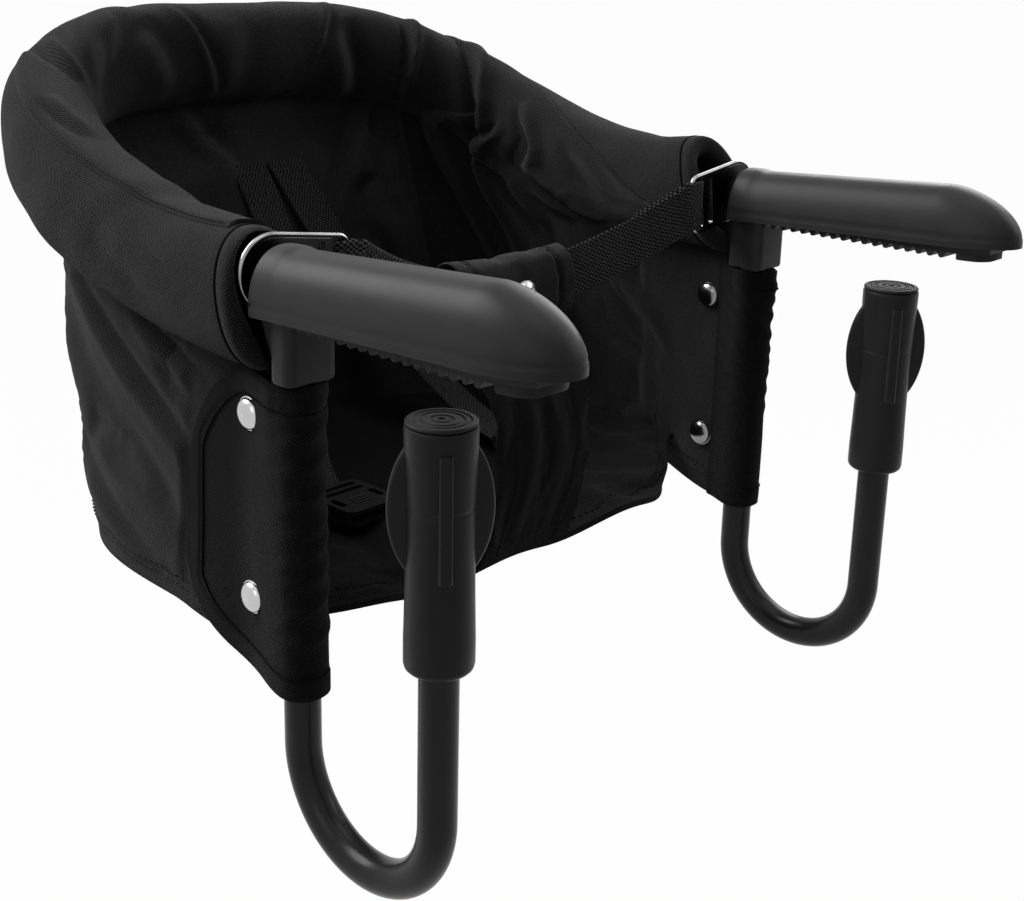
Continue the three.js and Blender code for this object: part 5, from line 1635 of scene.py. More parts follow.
@dataclass
class Harness:
    """Waist belt, its padded sleeve, shoulder straps and buckle halves."""

    walls: WallPlan
    finishes: Finishes
    width: float = 0.025
    thickness: float = 0.0016
    half: float = 0.117
    low: float = -0.0215
    back: float = 0.046
    front: float = 0.0241
    slot_drop: float = 0.0046
    overlap: float = 0.088
    sleeve_half: float = 0.042
    sleeve_shift: float = -0.006
    sleeve_depth: float = 0.0100
    sleeve_height: float = 0.0170
    sleeve_lip: float = 0.0012
    buckle_y: float = 0.1056
    buckle_length: float = 0.038
    buckle_width: float = 0.034
    buckle_height: float = 0.009
    left_end: float = -0.052
    right_end: float = 0.086
    anchor: float = 0.018

    def build(self) -> None:
        """Builds the harness."""
        self.belt()
        self.sleeve()
        self.snap()
        for side, start, end in ((Side.LEFT, -0.0045, self.left_end), (Side.RIGHT, 0.0235, self.right_end)):
            self.shoulder(side, start, end)
        self.socket()
        self.tongue()

    def belt_line(self, share: Array) -> Array:
        """Middle line of the belt between its plates.

        Args:
            share: -1 and 1 at the plates, 0 in the middle.

        Returns:
            Points of the hanging belt.
        """
        hang = share ** 2
        return np.stack([self.half * share, lerp(self.back, self.front, hang),
                         lerp(self.low, self.walls.rim.level - self.slot_drop, hang)], axis=-1)

    def webbing(self, path: Array, across: Array) -> tuple[Array, Array]:
        """Lays webbing along a line.

        Args:
            path: Middle line of a strap.
            across: Direction of its width at each point.

        Returns:
            The strap's middle sheet and its thickness, thicker at the woven edges.
        """
        share = np.linspace(-0.5, 0.5, 25)
        grid = path[:, None] + across[:, None] * (share * self.width)[None, :, None]
        edge = np.abs(np.abs(share) - 0.46) < 0.03
        return grid, np.broadcast_to(self.thickness * (1 + 0.25 * edge), grid.shape[:2])

    def belt(self) -> None:
        """Builds the belt; each end turns round its plate's bar and is sewn back on itself."""
        hanging = self.belt_line(np.linspace(-1, 1, 160))
        inner = np.linspace(self.overlap, 0.116, 14) / self.half
        behind = self.belt_line(inner) + np.array([0.0, 0.0022, 0.0])
        level = self.walls.rim.level - self.slot_drop
        turn = np.array([(x, y, level) for x, y in ((0.1215, 0.0288), (0.1255, 0.0297), (0.1276, 0.0284),
                                                    (0.1278, 0.0264), (0.1262, 0.0246), (0.1225, 0.0241))])
        right = np.concatenate([behind, turn])
        path = evenly(np.concatenate([right * MIRROR, hanging, right[::-1]]), 420)
        tangent, side, _ = frames_along(path, UP)
        lean = np.cross(side, tangent)
        facing = unit(np.where(lean[:, 2:3] < 0, -lean, lean) * np.array([1.0, 0.35, 1.0]))
        grid, thick = self.webbing(path, facing)
        surface = Surface()
        surface.cloth(grid, thick)
        normal = sheet_normals(grid)
        for sign, place in product((-1, 1), (0.094, 0.098, 0.112, 0.115)):
            row = 70 + int(np.argmin(np.abs(path[70:-70, 0] - sign * place)))
            surface.sewn(grid[row, 1:-1], normal[row, 1:-1], self.thickness * 0.55)
        piece = surface.build("belt_webbing", 60)
        dress(piece, self.finishes.webbing, Slot.WEBBING, SEAT, "waist_strap")

    def sleeve(self) -> None:
        """Builds the padded sleeve on the belt, with stitched open ends."""
        end = self.sleeve_half / self.half
        path = self.belt_line(np.linspace(-end, end, 110) + self.sleeve_shift / self.half)
        angle = full_turn(72)
        grid = swept(path, UP, *soft_box(angle, self.sleeve_depth, self.sleeve_height, 2.4))
        outward = unit(grid - path[:, None])
        along = (path[:, 0] - self.sleeve_shift + self.sleeve_half)[:, None]
        edge = np.minimum(along, 2 * self.sleeve_half - along)
        push = 0.0012 * lumps(grid, 0.020, 71) + 0.0005 * lumps(grid, 0.008, 72)
        push = push + 0.0014 * np.sin(math.pi * along / (2 * self.sleeve_half))
        ripple = np.sin(9 * angle)
        push = push - 0.0018 * bump(edge - 0.010, 0.0016) + 0.0004 * ripple * bump(edge - 0.010, 0.005)
        dimple = np.hypot(path[:, 0:1], grid[..., 2] - self.low)
        push = push - 0.0016 * bump(dimple, 0.010) * (np.cos(angle) > 0.3)
        grid = grid + outward * push[..., None]
        hole = swept(path, UP, *soft_box(angle, 0.0026, 0.0136, 6.0))
        lip, outset = lerp(hole, grid, 0.8), np.array([self.sleeve_lip, 0, 0])
        near = [hole[14], lerp(hole[3], grid[3], 0.2), lerp(hole[1], grid[1], 0.55), lip[0] - outset]
        far = [lip[-1] + outset, lerp(hole[-2], grid[-2], 0.55), lerp(hole[-4], grid[-4], 0.2), hole[-15]]
        surface = Surface()
        surface.grid(np.array([*near, *grid, *far]), wrap=True)
        for row in (12, len(path) - 13):
            line = np.concatenate([grid[row], grid[row][:1]])
            surface.stitches(line, np.concatenate([outward[row], outward[row][:1]]), length=0.0026)
        piece = surface.build("padded_crotch_sleeve", 60)
        dress(piece, self.finishes.canvas, Slot.CANVAS, SEAT, "crotch_sleeve")

    def snap(self) -> None:
        """Builds the snap on the front of the padded sleeve."""
        surface = Surface()
        surface.turned(SnapCap().profile(), (0, 0, 0))
        piece = surface.build("crotch_snap_cap")
        front = self.back - self.sleeve_depth - 0.0003
        piece.data.transform(Matrix.Translation((0, front, self.low)) @ Matrix.Rotation(math.pi / 2, 4, "X"))
        dress(piece, self.finishes.chrome, Slot.SNAP, SEAT, "crotch_snap")

    def shoulder(self, side: Side, start: float, end: float) -> None:
        """Builds a shoulder strap that hangs from the back wall to the base.

        Args:
            side: Which strap.
            start: Its place across at the back wall.
            end: Its place across at its buckle half.
        """
        wall_top, wall_foot = self.walls.top(np.array([1.0]))[0], self.walls.foot(np.array([1.0]))[0]
        drop = (wall_top[2] - self.anchor) / (wall_top[2] - wall_foot[2])
        inside = lerp(wall_top[1], wall_foot[1], drop) - self.walls.crown * math.sin(math.pi * drop) - 0.00125
        top = np.array([start, inside - 0.0019, self.anchor])
        floor = float(self.walls.base_level(np.array(end), np.array(self.buckle_y))) + 0.0016
        low = np.array([end, 0.125, floor + 0.0045])
        slack = top + np.array([0.045, -0.012, -0.085])
        lying = low + np.array([0, 0.040, 0])
        path = evenly(bent(top, slack, lying, low, np.linspace(0, 1, 90)[:, None]), 110)
        share = np.linspace(0, 1, 110)[:, None]
        twist = np.concatenate([np.ones_like(share), 0.10 * np.sin(math.pi * share) * side.value,
                                0.16 * np.sin(2 * math.pi * share) * side.value], axis=1)
        grid, thick = self.webbing(path, unit(twist))
        surface = Surface()
        surface.cloth(grid, thick)
        normal = sheet_normals(grid)
        for row in (3, 9, 100, 104):
            surface.sewn(grid[row, 1:-1], normal[row, 1:-1], self.thickness * 0.55)
        piece = surface.build(f"{side.word}_shoulder_webbing", 60)
        dress(piece, self.finishes.webbing, Slot.WEBBING, SEAT, f"{side.word}_shoulder_strap")

    def on_base(self, piece: Piece, x: float) -> None:
        """Lays a buckle half on the base."""
        floor = float(self.walls.base_level(np.array(x), np.array(self.buckle_y))) + 0.0022
        piece.data.transform(Matrix.Translation((x, self.buckle_y, floor)))

    def strap_slots(self) -> list[Array]:
        """Outlines of the two slots that a strap is laced through in each buckle half."""
        places = [self.buckle_length / 2 - inset for inset in (0.0052, 0.0116)]
        return [rounded_rectangle(self.width + 0.001, 0.0036, 0.0012, (0.0, y)) for y in places]

    def socket(self) -> None:
        """Builds the buckle's socket: a hollow shell with ribs and a strap bar."""
        outline = rounded_rectangle(self.buckle_width, self.buckle_length, 0.006)
        slots = self.strap_slots()
        windows = [rounded_rectangle(0.004, 0.011, 0.0016, (sign * 0.0125, -0.004)) for sign in (-1, 1)]
        parts = [outline_solid(outline, slots + windows, 0.0066, self.buckle_height, "socket_shell"),
                 outline_solid(outline, slots, 0.0, 0.0024, "socket_foot")]
        for sign in (-1, 1):
            wall = rounded_rectangle(0.0035, 0.030, 0.001, (sign * 0.0150, -0.001))
            parts.append(outline_solid(wall, [], 0.0022, 0.0068, "socket_wall"))
        for y in (-0.004, -0.007, -0.010):
            rib = rounded_rectangle(0.012, 0.0014, 0.0006, (0.0, y))
            parts.append(outline_solid(rib, [], 0.0088, 0.0098, "socket_rib"))
        piece = joined("buckle_socket_half", parts, 0.0005)
        self.on_base(piece, self.left_end)
        dress(piece, self.finishes.buckle, Slot.BUCKLE, SEAT, "buckle_socket")

    def tongue(self) -> None:
        """Builds the buckle's tongue: two springy prongs, a guide and a strap bar."""
        head = rounded_rectangle(self.buckle_width, 0.017, 0.004, (0.0, self.buckle_length / 2 - 0.0085))
        guide = rounded_rectangle(0.005, 0.021, 0.0016, (0.0, -0.0085))
        parts = [outline_solid(head, self.strap_slots(), 0.0012, 0.0078, "tongue_head"),
                 outline_solid(guide, [], 0.003, 0.006, "tongue_guide")]
        share = np.linspace(0, 1, 12)
        bulge = 0.003 * np.sin(math.pi * share) ** 2
        for sign in (-1, 1):
            outer = np.stack([sign * (0.0128 + bulge), 0.003 - 0.022 * share], axis=1)
            inner = np.stack([sign * (0.0096 + 0.0024 * share[::-1]), 0.003 - 0.021 * share[::-1]], axis=1)
            parts.append(outline_solid(np.concatenate([outer, inner]), [], 0.002, 0.007, "tongue_prong"))
        piece = joined("buckle_tongue_half", parts, 0.0005)
        self.on_base(piece, self.right_end)
        dress(piece, self.finishes.buckle, Slot.BUCKLE, SEAT, "buckle_tongue")


def joined(name: str, parts: Sequence[Piece], rounding: float) -> Piece:
    """Rounds the parts of a moulding and makes them one piece.

    Args:
        name: Name of the joined piece.
        parts: Meshes that belong to one moulding.
        rounding: Radius of their edges.

    Returns:
        One object that holds them all.
    """
    work = bmesh.new()
    for part in parts:
        bevelled(part, rounding)
        work.from_mesh(part.data)
        bpy.data.objects.remove(part)
    mesh = bpy.data.meshes.new(name)
    work.to_mesh(mesh)
    work.free()
    return linked(name, mesh)


# Arms, clamps and flaps


@dataclass(frozen=True)
class SnapCap:
    """Domed cap of a press stud."""

    radius: float = 0.0075
    height: float = 0.0042
    rim: float = 0.0007

    def profile(self) -> list[Place]:
        """Half section of the cap.

        Returns:
            Radius and height of the cap's points, from its back to its top.
        """
        r, rim = self.radius, self.rim
        back = [(0.0001, 0.0), (0.96 * r, 0.0), (r, 0.4 * rim), (0.99 * r, 0.9 * rim), (0.95 * r, 1.02 * rim)]
        dome = [(0.93 * r * math.cos(a), rim + (self.height - rim) * math.sin(a))
                for a in np.linspace(0.0, math.pi / 2 - 0.02, 14)]
        return back + dome


@dataclass
class TableArm:
    """One folding arm: beak-shaped shell, joint with its boss, toothed grip and leg screw."""

    side: Side
    rim: RimPlan
    finishes: Finishes
    rear: float = 0.019
    tip: float = 0.1378
    width: float = 0.036
    edge_rear: float = 0.002
    edge_front: float = 0.008
    top_rear: float = 0.027
    top_front: float = 0.034
    nose: float = 0.038
    band_length: float = 0.011
    band_rise: float = 0.0012
    arch_power: float = 2.3
    wall: float = 0.0025
    lip: float = 0.0007
    boss_width: float = 0.026
    boss_drop: float = 0.026
    boss_depth: float = 0.0215
    leg_setback: float = 0.011
    grip_width: float = 0.030
    grip_thickness: float = 0.004
    tooth_pitch: float = 0.006
    tooth_depth: float = 0.003
    tooth_tip: float = 0.0016
    grip_front: float = -0.1278
    block_length: float = 0.015
    screw_drop: float = 0.014

    def build(self) -> None:
        """Builds the arm's pieces."""
        self.shell()
        self.joint()
        self.grip()
        self.screw()

    def finish_piece(self, surface: Surface, name: str, finish: Material, slot: Slot, node: str,
                     sharp: float = 40.0) -> None:
        """Puts a piece in place on its arm and dresses it.

        Args:
            surface: Mesh built round x = 0, with +x inwards.
            name: Name of the piece, without its side.
            finish: Its material.
            slot: The record's slot.
            node: The CAD node it stands for, without its side.
            sharp: Angle above which edges stay crisp.
        """
        surface.placed(self.side, self.rim.half)
        piece = surface.build(f"{self.side.word}_{name}", sharp)
        dress(piece, finish, slot, Body.ARM.of(self.side), f"{self.side.word}_{node}")

    def sizes_at(self, y: Array, inset: float = 0.0) -> tuple[Array, Array, Array]:
        """Sizes of the arm's section.

        Args:
            y: Depths along the arm.
            inset: How far the section is drawn in.

        Returns:
            Height of the lower edge, half width and height of the arch.
        """
        start = self.nose - self.tip
        along = clamp01((self.rear - y) / (self.rear + self.tip))
        climb = clamp01((self.rear - y) / (self.rear - start))
        nose = clamp01((start - y) / self.nose)
        band = self.band_rise * smooth((y - self.rear + self.band_length + 0.0035) / 0.0070)
        edge = lerp(self.edge_rear, self.edge_front, along)
        rise = lerp(self.top_rear, self.top_front, climb) - edge
        half = self.width / 2 * np.sqrt(1 - nose ** 2.4) + 0.2 * band - inset
        height = rise * np.sqrt(1 - nose ** 1.65) + band - inset
        return edge, np.maximum(half, 1e-4), np.maximum(height, 1e-4)

    def depths(self) -> Array:
        """Spaces the shell's rings.

        Returns:
            Depths of the arm's rings, close together at the band and the nose.
        """
        start = self.nose - self.tip
        band = self.rear - self.band_length
        nose = start - self.nose * np.sin(np.linspace(0, math.pi / 2, 44))[1:]
        rear = np.linspace(self.rear - 0.0012, band + 0.001, 8)
        step = np.linspace(band + 0.0008, band - 0.001, 7)
        return np.concatenate([rear, step, np.linspace(band - 0.003, start, 44), nose])

    def shell(self) -> None:
        """Builds the beak-shaped cover with its rear band, parting groove and rolled lower lip."""
        depths = self.depths()
        edge, half, height = (size[:, None] for size in self.sizes_at(depths))
        across, up = soft_box(np.linspace(0, math.pi, 61)[None, :], half, height, self.arch_power)
        groove = 0.0005 * bump(up - 0.0042, 0.0006)
        across = across - np.sign(across) * np.minimum(groove, np.abs(across) * 0.5)
        y = np.broadcast_to(depths[:, None], across.shape)
        outer = np.stack([across, y, edge + up], axis=2)
        share = np.clip(1 - self.wall / np.maximum(half, self.wall * 1.2), 0.05, 1.0)
        inner = np.stack([across * share, y, edge + up * share], axis=2)[:, ::-1]
        raised, lowered = np.array([0, 0, 0.0006]), np.array([0, 0, self.lip])
        rings = np.concatenate([outer[:, :1] - lowered, outer, outer[:, -1:] - lowered, inner[:, :1] + raised,
                                inner[:, 2:-2], inner[:, -1:] + raised], axis=1)
        surface = Surface()
        first = surface.grid(rings, wrap=True)
        surface.lid(first + (len(depths) - 1) * rings.shape[1], rings.shape[1], rings[-1].mean(axis=0))
        self.rear_wall(surface)
        self.finish_piece(surface, "arm_beak", self.finishes.arm, Slot.ARM, "arm_shell", 50)

    def rear_wall(self, surface: Surface) -> None:
        """Closes the shell behind with a rounded rim and a recessed wall round the tube.

        Args:
            surface: The shell's mesh.
        """
        angle = np.linspace(0, math.pi, 61)
        rounding = ((0.0012, 0.0), (0.0003, 0.0004), (0.0, 0.0012), (0.0002, 0.0022), (0.0020, 0.0026))
        rings = []
        for ahead, inset in rounding:
            y = self.rear - ahead
            edge, half, height = self.sizes_at(np.array([y]), inset)
            across, up = soft_box(angle, half[0], height[0], self.arch_power)
            arch = np.stack([across, np.full(61, y), edge[0] + up], axis=1)
            base = np.linspace(arch[-1], arch[0], 22)[1:-1] - np.array([0, 0, self.lip])
            rings.append(np.concatenate([arch, base]))
        first = surface.grid(np.array(rings), wrap=True)
        count = len(rings[-1])
        surface.lid(first + (len(rings) - 1) * count, count, rings[-1].mean(axis=0))

    def joint(self) -> None:
        """Builds the joint's visible moulding: boss, leg socket, plinth and the bush round the rim."""
        surface = Surface()
        self.boss(surface)
        self.plinth(surface)
        bush = ((-0.004, 0.0122), (0.0010, 0.0122), (0.0018, 0.0114), (0.0018, 0.0085), (-0.004, 0.0085))
        rings = []
        for behind, radius in bush:
            x, z = circle(radius, 40).T
            rings.append(np.stack([x, np.full(40, self.rear + behind), self.rim.level + z], axis=1))
        surface.grid(np.array(rings), wrap=True)
        self.finish_piece(surface, "arm_boss", self.finishes.inner, Slot.INNER, "arm_joint")

    def boss(self, surface: Surface) -> None:
        """Adds the boss block and, behind it, the socket that leans back round the leg.

        Args:
            surface: The joint's mesh.
        """
        half, corner, top = self.boss_width / 2, 0.005, 0.0055
        levels = ((0.0, 0.0016), (0.0005, 0.0005), (0.0016, 0.0), (0.013, 0.0), (self.boss_drop + top, 0.0))
        rings = []
        for rise, inset in levels:
            outline = rounded_rectangle(2 * (half - inset), 0.0140 - 2 * inset, corner - inset, (0.0, 0.0070))
            rings.append(np.column_stack([outline, np.full(len(outline), rise - self.boss_drop)]))
        surface.loft(np.array(rings))
        turn = np.linspace(0, math.pi, 40)
        front = np.array([(-half + 0.0012, 0.009), (half - 0.0012, 0.009)])
        rings = []
        for z in np.linspace(0.0010 - self.boss_drop, top, 22):
            lean = lerp(float(clamp01((z + 0.020) / 0.020)), 0.9, smooth((np.cos(turn) + 0.4) / 0.8))
            reach = lerp(0.0088, self.boss_depth + 0.0010 - self.leg_setback, lean)
            x, deep = soft_box(turn, lerp(0.0092, half - 0.0012, lean), reach, lerp(2.0, 5.0, lean))
            ring = np.concatenate([np.stack([x, self.leg_setback + deep], axis=1), front])
            rings.append(np.column_stack([ring, np.full(len(ring), z)]))
        surface.loft(np.array(rings))

    def plinth(self, surface: Surface) -> None:
        """Adds the strip of the joint that carries the grip.

        Args:
            surface: The joint's mesh.
        """
        depths = np.concatenate([np.linspace(0.012, -0.10, 30), np.linspace(-0.101, self.grip_front, 24)])
        edge, _, _ = self.sizes_at(depths)
        rings = []
        for y, h, e in zip(depths, self.grip_half(depths), edge):
            low, high = self.grip_thickness, e + 0.004
            rings.append([(h, y, low), (h, y, high), (-h, y, high), (-h, y, low)])
        surface.loft(np.array(rings))

    def grip_half(self, y: Array) -> Array:
        """Half the grip's width at depths along the arm."""
        return self.sizes_at(np.minimum(y, -self.band_length), (self.width - self.grip_width) / 2)[1]

    def grip(self) -> None:
        """Builds the rubber strip with its cross teeth and plain front block."""
        teeth_end = self.grip_front + self.block_length
        gap, ease, corner = 0.0006, 0.00022, 0.0003
        root_level, top = self.tooth_depth, self.grip_thickness
        slope = (self.tooth_pitch - self.tooth_tip - gap) / 2
        stations: list[Place] = [(-0.0003, root_level)]
        for k in range(int(-teeth_end / self.tooth_pitch)):
            root = -k * self.tooth_pitch - gap
            rear, front = root - slope, root - slope - self.tooth_tip
            stations += [(root, root_level), (rear + ease, ease * 1.6), (rear - ease, 0.0),
                         (front + ease, 0.0), (front - ease, ease * 1.6), (front - slope, root_level)]
        stations += [(teeth_end + 0.0004, root_level), (teeth_end, root_level - 0.0004),
                     (teeth_end - 0.0001, 0.0004), (teeth_end - 0.0005, 0.0)]
        stations += [(float(y), 0.0) for y in np.linspace(teeth_end - 0.001, self.grip_front + 0.0012, 22)]
        stations += [(self.grip_front + 0.0005, 0.0003), (self.grip_front, 0.0012)]
        rings = []
        for y, low in stations:
            tip = float(clamp01((self.grip_front + 0.0070 - y) / 0.0072))
            h = float(self.grip_half(np.array([y]))[0]) * math.sqrt(1 - tip ** 2)
            rings.append([(h, y, top), (-h, y, top), (-h, y, low + corner), (-h + corner, y, low),
                          (h - corner, y, low), (h, y, low + corner)])
        surface = Surface()
        surface.loft(np.array(rings))
        self.finish_piece(surface, "toothed_grip", self.finishes.rubber, Slot.RUBBER, "grip_pad", 25)

    def screw(self) -> None:
        """Builds the leg's screw: a domed head with a cross recess, behind the boss."""
        head = outline_solid(circle(0.004, 40), [self.cross()], 0.0004, 0.0022, "screw_top")
        foot = outline_solid(circle(0.004, 40), [], 0.0, 0.0012, "screw_foot")
        stem = outline_solid(circle(0.002, 24), [], -0.0098, 0.0, "screw_stem")
        piece = joined(f"{self.side.word}_cross_screw", [head, foot, stem], 0.0004)
        x = self.side.value * self.rim.half
        place = Matrix.Translation((x, self.boss_depth + 0.0003, -self.screw_drop))
        piece.data.transform(place @ Matrix.Rotation(-math.pi / 2, 4, "X"))
        dress(piece, self.finishes.screw, Slot.PLATE, Body.ARM.of(self.side), f"{self.side.word}_leg_screw")

    def cross(self) -> Array:
        """Cross that a screwdriver fits.

        Returns:
            Outline of the screw's cross recess.
        """
        arm, wide = 0.0021, 0.0005
        corner = np.array([(arm, wide), (wide, wide), (wide, arm)])
        quarters = ((1, 0), (0, 1), (-1, 0), (0, -1))
        return np.concatenate([corner @ np.array([(c, s), (-s, c)]) for c, s in quarters])


@dataclass
class ClampLeg:
    """One J-shaped leg with its screw sleeve and rubber pad."""

    side: Side
    rim: RimPlan
    finishes: Finishes
    tube: float = 0.008
    setback: float = 0.011
    span: float = 0.084
    bend_depth: float = 0.189
    leg_top: float = 0.003
    front_top: float = -0.0576
    table_gap: float = 0.022
    pad_thickness: float = 0.004
    sleeve_top: float = -0.0263
    sleeve_length: float = 0.095
    radius: float = 0.0138
    waist: float = 0.0131
    wing_half: float = 0.0203
    wing_height: float = 0.0320
    lip: float = 0.0020
    parting: float = -0.0557
    wing_thickness: float = 0.0036
    wing_level: float = -0.0562
    fin_reach: float = 0.0164
    fin_thickness: float = 0.0050
    fin_top: float = -0.0318
    fin_foot: float = -0.0805
    left_turn: float = -36.0
    right_turn: float = -44.0

    def build(self) -> None:
        """Builds the leg and its clamp."""
        self.leg()
        self.sleeve()
        self.pad()

    @property
    def axis(self) -> Place:
        """Place of the clamp's axis."""
        return self.side.value * self.rim.half, self.setback - self.span

    def leg(self) -> None:
        """Builds the bent tube from the boss down, round the bend and up into the sleeve."""
        bend = self.span / 2
        turn = np.linspace(0, math.pi, 60)
        down = np.linspace(self.leg_top, -self.bend_depth, 24)[:-1]
        up = np.linspace(-self.bend_depth, self.front_top, 20)[1:]
        y = np.concatenate([np.full(23, self.setback), self.setback - bend + bend * np.cos(turn),
                            np.full(19, self.setback - self.span)])
        z = np.concatenate([down, -self.bend_depth - bend * np.sin(turn), up])
        path = np.stack([np.full(len(y), self.side.value * self.rim.half), y, z], axis=1)
        surface = Surface()
        surface.rod(path, ACROSS, self.tube, 40)
        piece = surface.build(f"{self.side.word}_j_leg")
        dress(piece, self.finishes.tube, Slot.TUBE, Body.ARM.of(self.side), f"{self.side.word}_leg_tube")

    def sleeve(self) -> None:
        """Builds the hand-turned sleeve: barrel, oval wing and cross fin."""
        bottom = self.sleeve_top - self.sleeve_length
        r = self.radius
        profile = [(0.0087, bottom + 0.010), (0.0087, bottom + 0.0008), (0.0093, bottom),
                   (r - 0.0030, bottom), (r - 0.0014, bottom + 0.0004), (r - 0.0004, bottom + 0.0014),
                   (r, bottom + 0.0030), (r, bottom + 0.0120)]
        rim, pad_seat = -self.table_gap - self.lip, self.sleeve_top - 0.0004
        low, high = bottom + 0.0125, rim - 0.0050
        levels = [*np.linspace(low, high, 24), self.parting - 0.0004, self.parting, self.parting + 0.0004]
        for z in sorted(levels):
            dip = (r - self.waist) * math.sin(math.pi * (z - low) / (high - low))
            profile.append((r - dip - 0.00025 * (z == self.parting), z))
        profile += [(r, rim - 0.0020), (r, rim - 0.0006), (r - 0.0003, rim - 0.0001), (r - 0.0009, rim),
                    (r - 0.0017, rim - 0.0002), (r - 0.0021, rim - 0.0010), (r - 0.0021, pad_seat),
                    (0.0001, pad_seat)]
        surface = Surface()
        surface.turned(profile, (0, 0, 0), 72)
        self.wing(surface)
        self.fins(surface)
        piece = surface.build(f"{self.side.word}_winged_sleeve", 35)
        angle = math.radians(self.left_turn if self.side is Side.LEFT else self.right_turn)
        piece.data.transform(Matrix.Translation((*self.axis, 0)) @ Matrix.Rotation(angle, 4, "Z"))
        node = f"{self.side.word}_clamp_sleeve"
        # The sleeve takes the darker copy of the arm plastic, painted shade.
        dress(piece, self.finishes.sleeve, Slot.ARM, Body.SLEEVE.of(self.side), node)

    def wing(self, surface: Surface) -> None:
        """Adds the upright oval plate with a rounded rim through the sleeve's axis.

        Args:
            surface: The sleeve's mesh.
        """
        angle = full_turn(96)
        rounding = ((-1.0, 0.0012), (-0.72, 0.0004), (-0.3, 0.0), (0.3, 0.0), (0.72, 0.0004), (1.0, 0.0012))
        rings = []
        for share, inset in rounding:
            x = (self.wing_half - inset) * np.cos(angle)
            z = self.wing_level + (self.wing_height - inset) * np.sin(angle)
            rings.append(np.stack([x, np.full(96, share * self.wing_thickness / 2), z], axis=1))
        surface.loft(np.array(rings))

    def fins(self, surface: Surface) -> None:
        """Adds the two ribs across the wing, which grow downwards and end in a step.

        Args:
            surface: The sleeve's mesh.
        """
        half, ease = self.fin_thickness / 2, 0.0005
        for sign in (-1.0, 1.0):
            rings = []
            for share in (0.0, *np.linspace(0.012, 0.988, 14), 1.0):
                z = lerp(self.fin_top, self.fin_foot, share)
                reach = lerp(self.radius + 0.0009, self.fin_reach, share) - ease * (share in (0.0, 1.0))
                root = self.waist - 0.003
                ring = [(-half, root), (-half, reach - ease), (-half + ease, reach), (half - ease, reach),
                        (half, reach - ease), (half, root)]
                rings.append([(x, sign * y, z) for x, y in ring])
            surface.loft(np.array(rings))

    def pad(self) -> None:
        """Builds the round rubber pad with rings and a centre dimple moulded in its top."""
        top, low = -self.table_gap, -self.table_gap - self.pad_thickness
        r = self.radius
        profile = [(0.0001, low + 0.0003), (r - 0.0032, low + 0.0003), (r - 0.0026, low + 0.0009),
                   (r - 0.0026, top - 0.0017), (r - 0.0008, top - 0.0017), (r - 0.0003, top - 0.0012),
                   (r - 0.0003, top - 0.0007), (r - 0.0007, top - 0.0002), (r - 0.0013, top)]
        for groove in (0.0106, 0.0080, 0.0040):
            profile += [(groove + 0.0008, top), (groove + 0.0004, top - 0.0005),
                        (groove - 0.0004, top - 0.0005), (groove - 0.0008, top)]
        profile += [(0.0016, top), (0.0012, top - 0.0006), (0.0001, top - 0.0007)]
        surface = Surface()
        surface.turned(profile, (*self.axis, 0.0), 72)
        piece = surface.build(f"{self.side.word}_ringed_pad", 30)
        dress(piece, self.finishes.rubber, Slot.RUBBER, Body.PAD.of(self.side), f"{self.side.word}_clamp_pad")


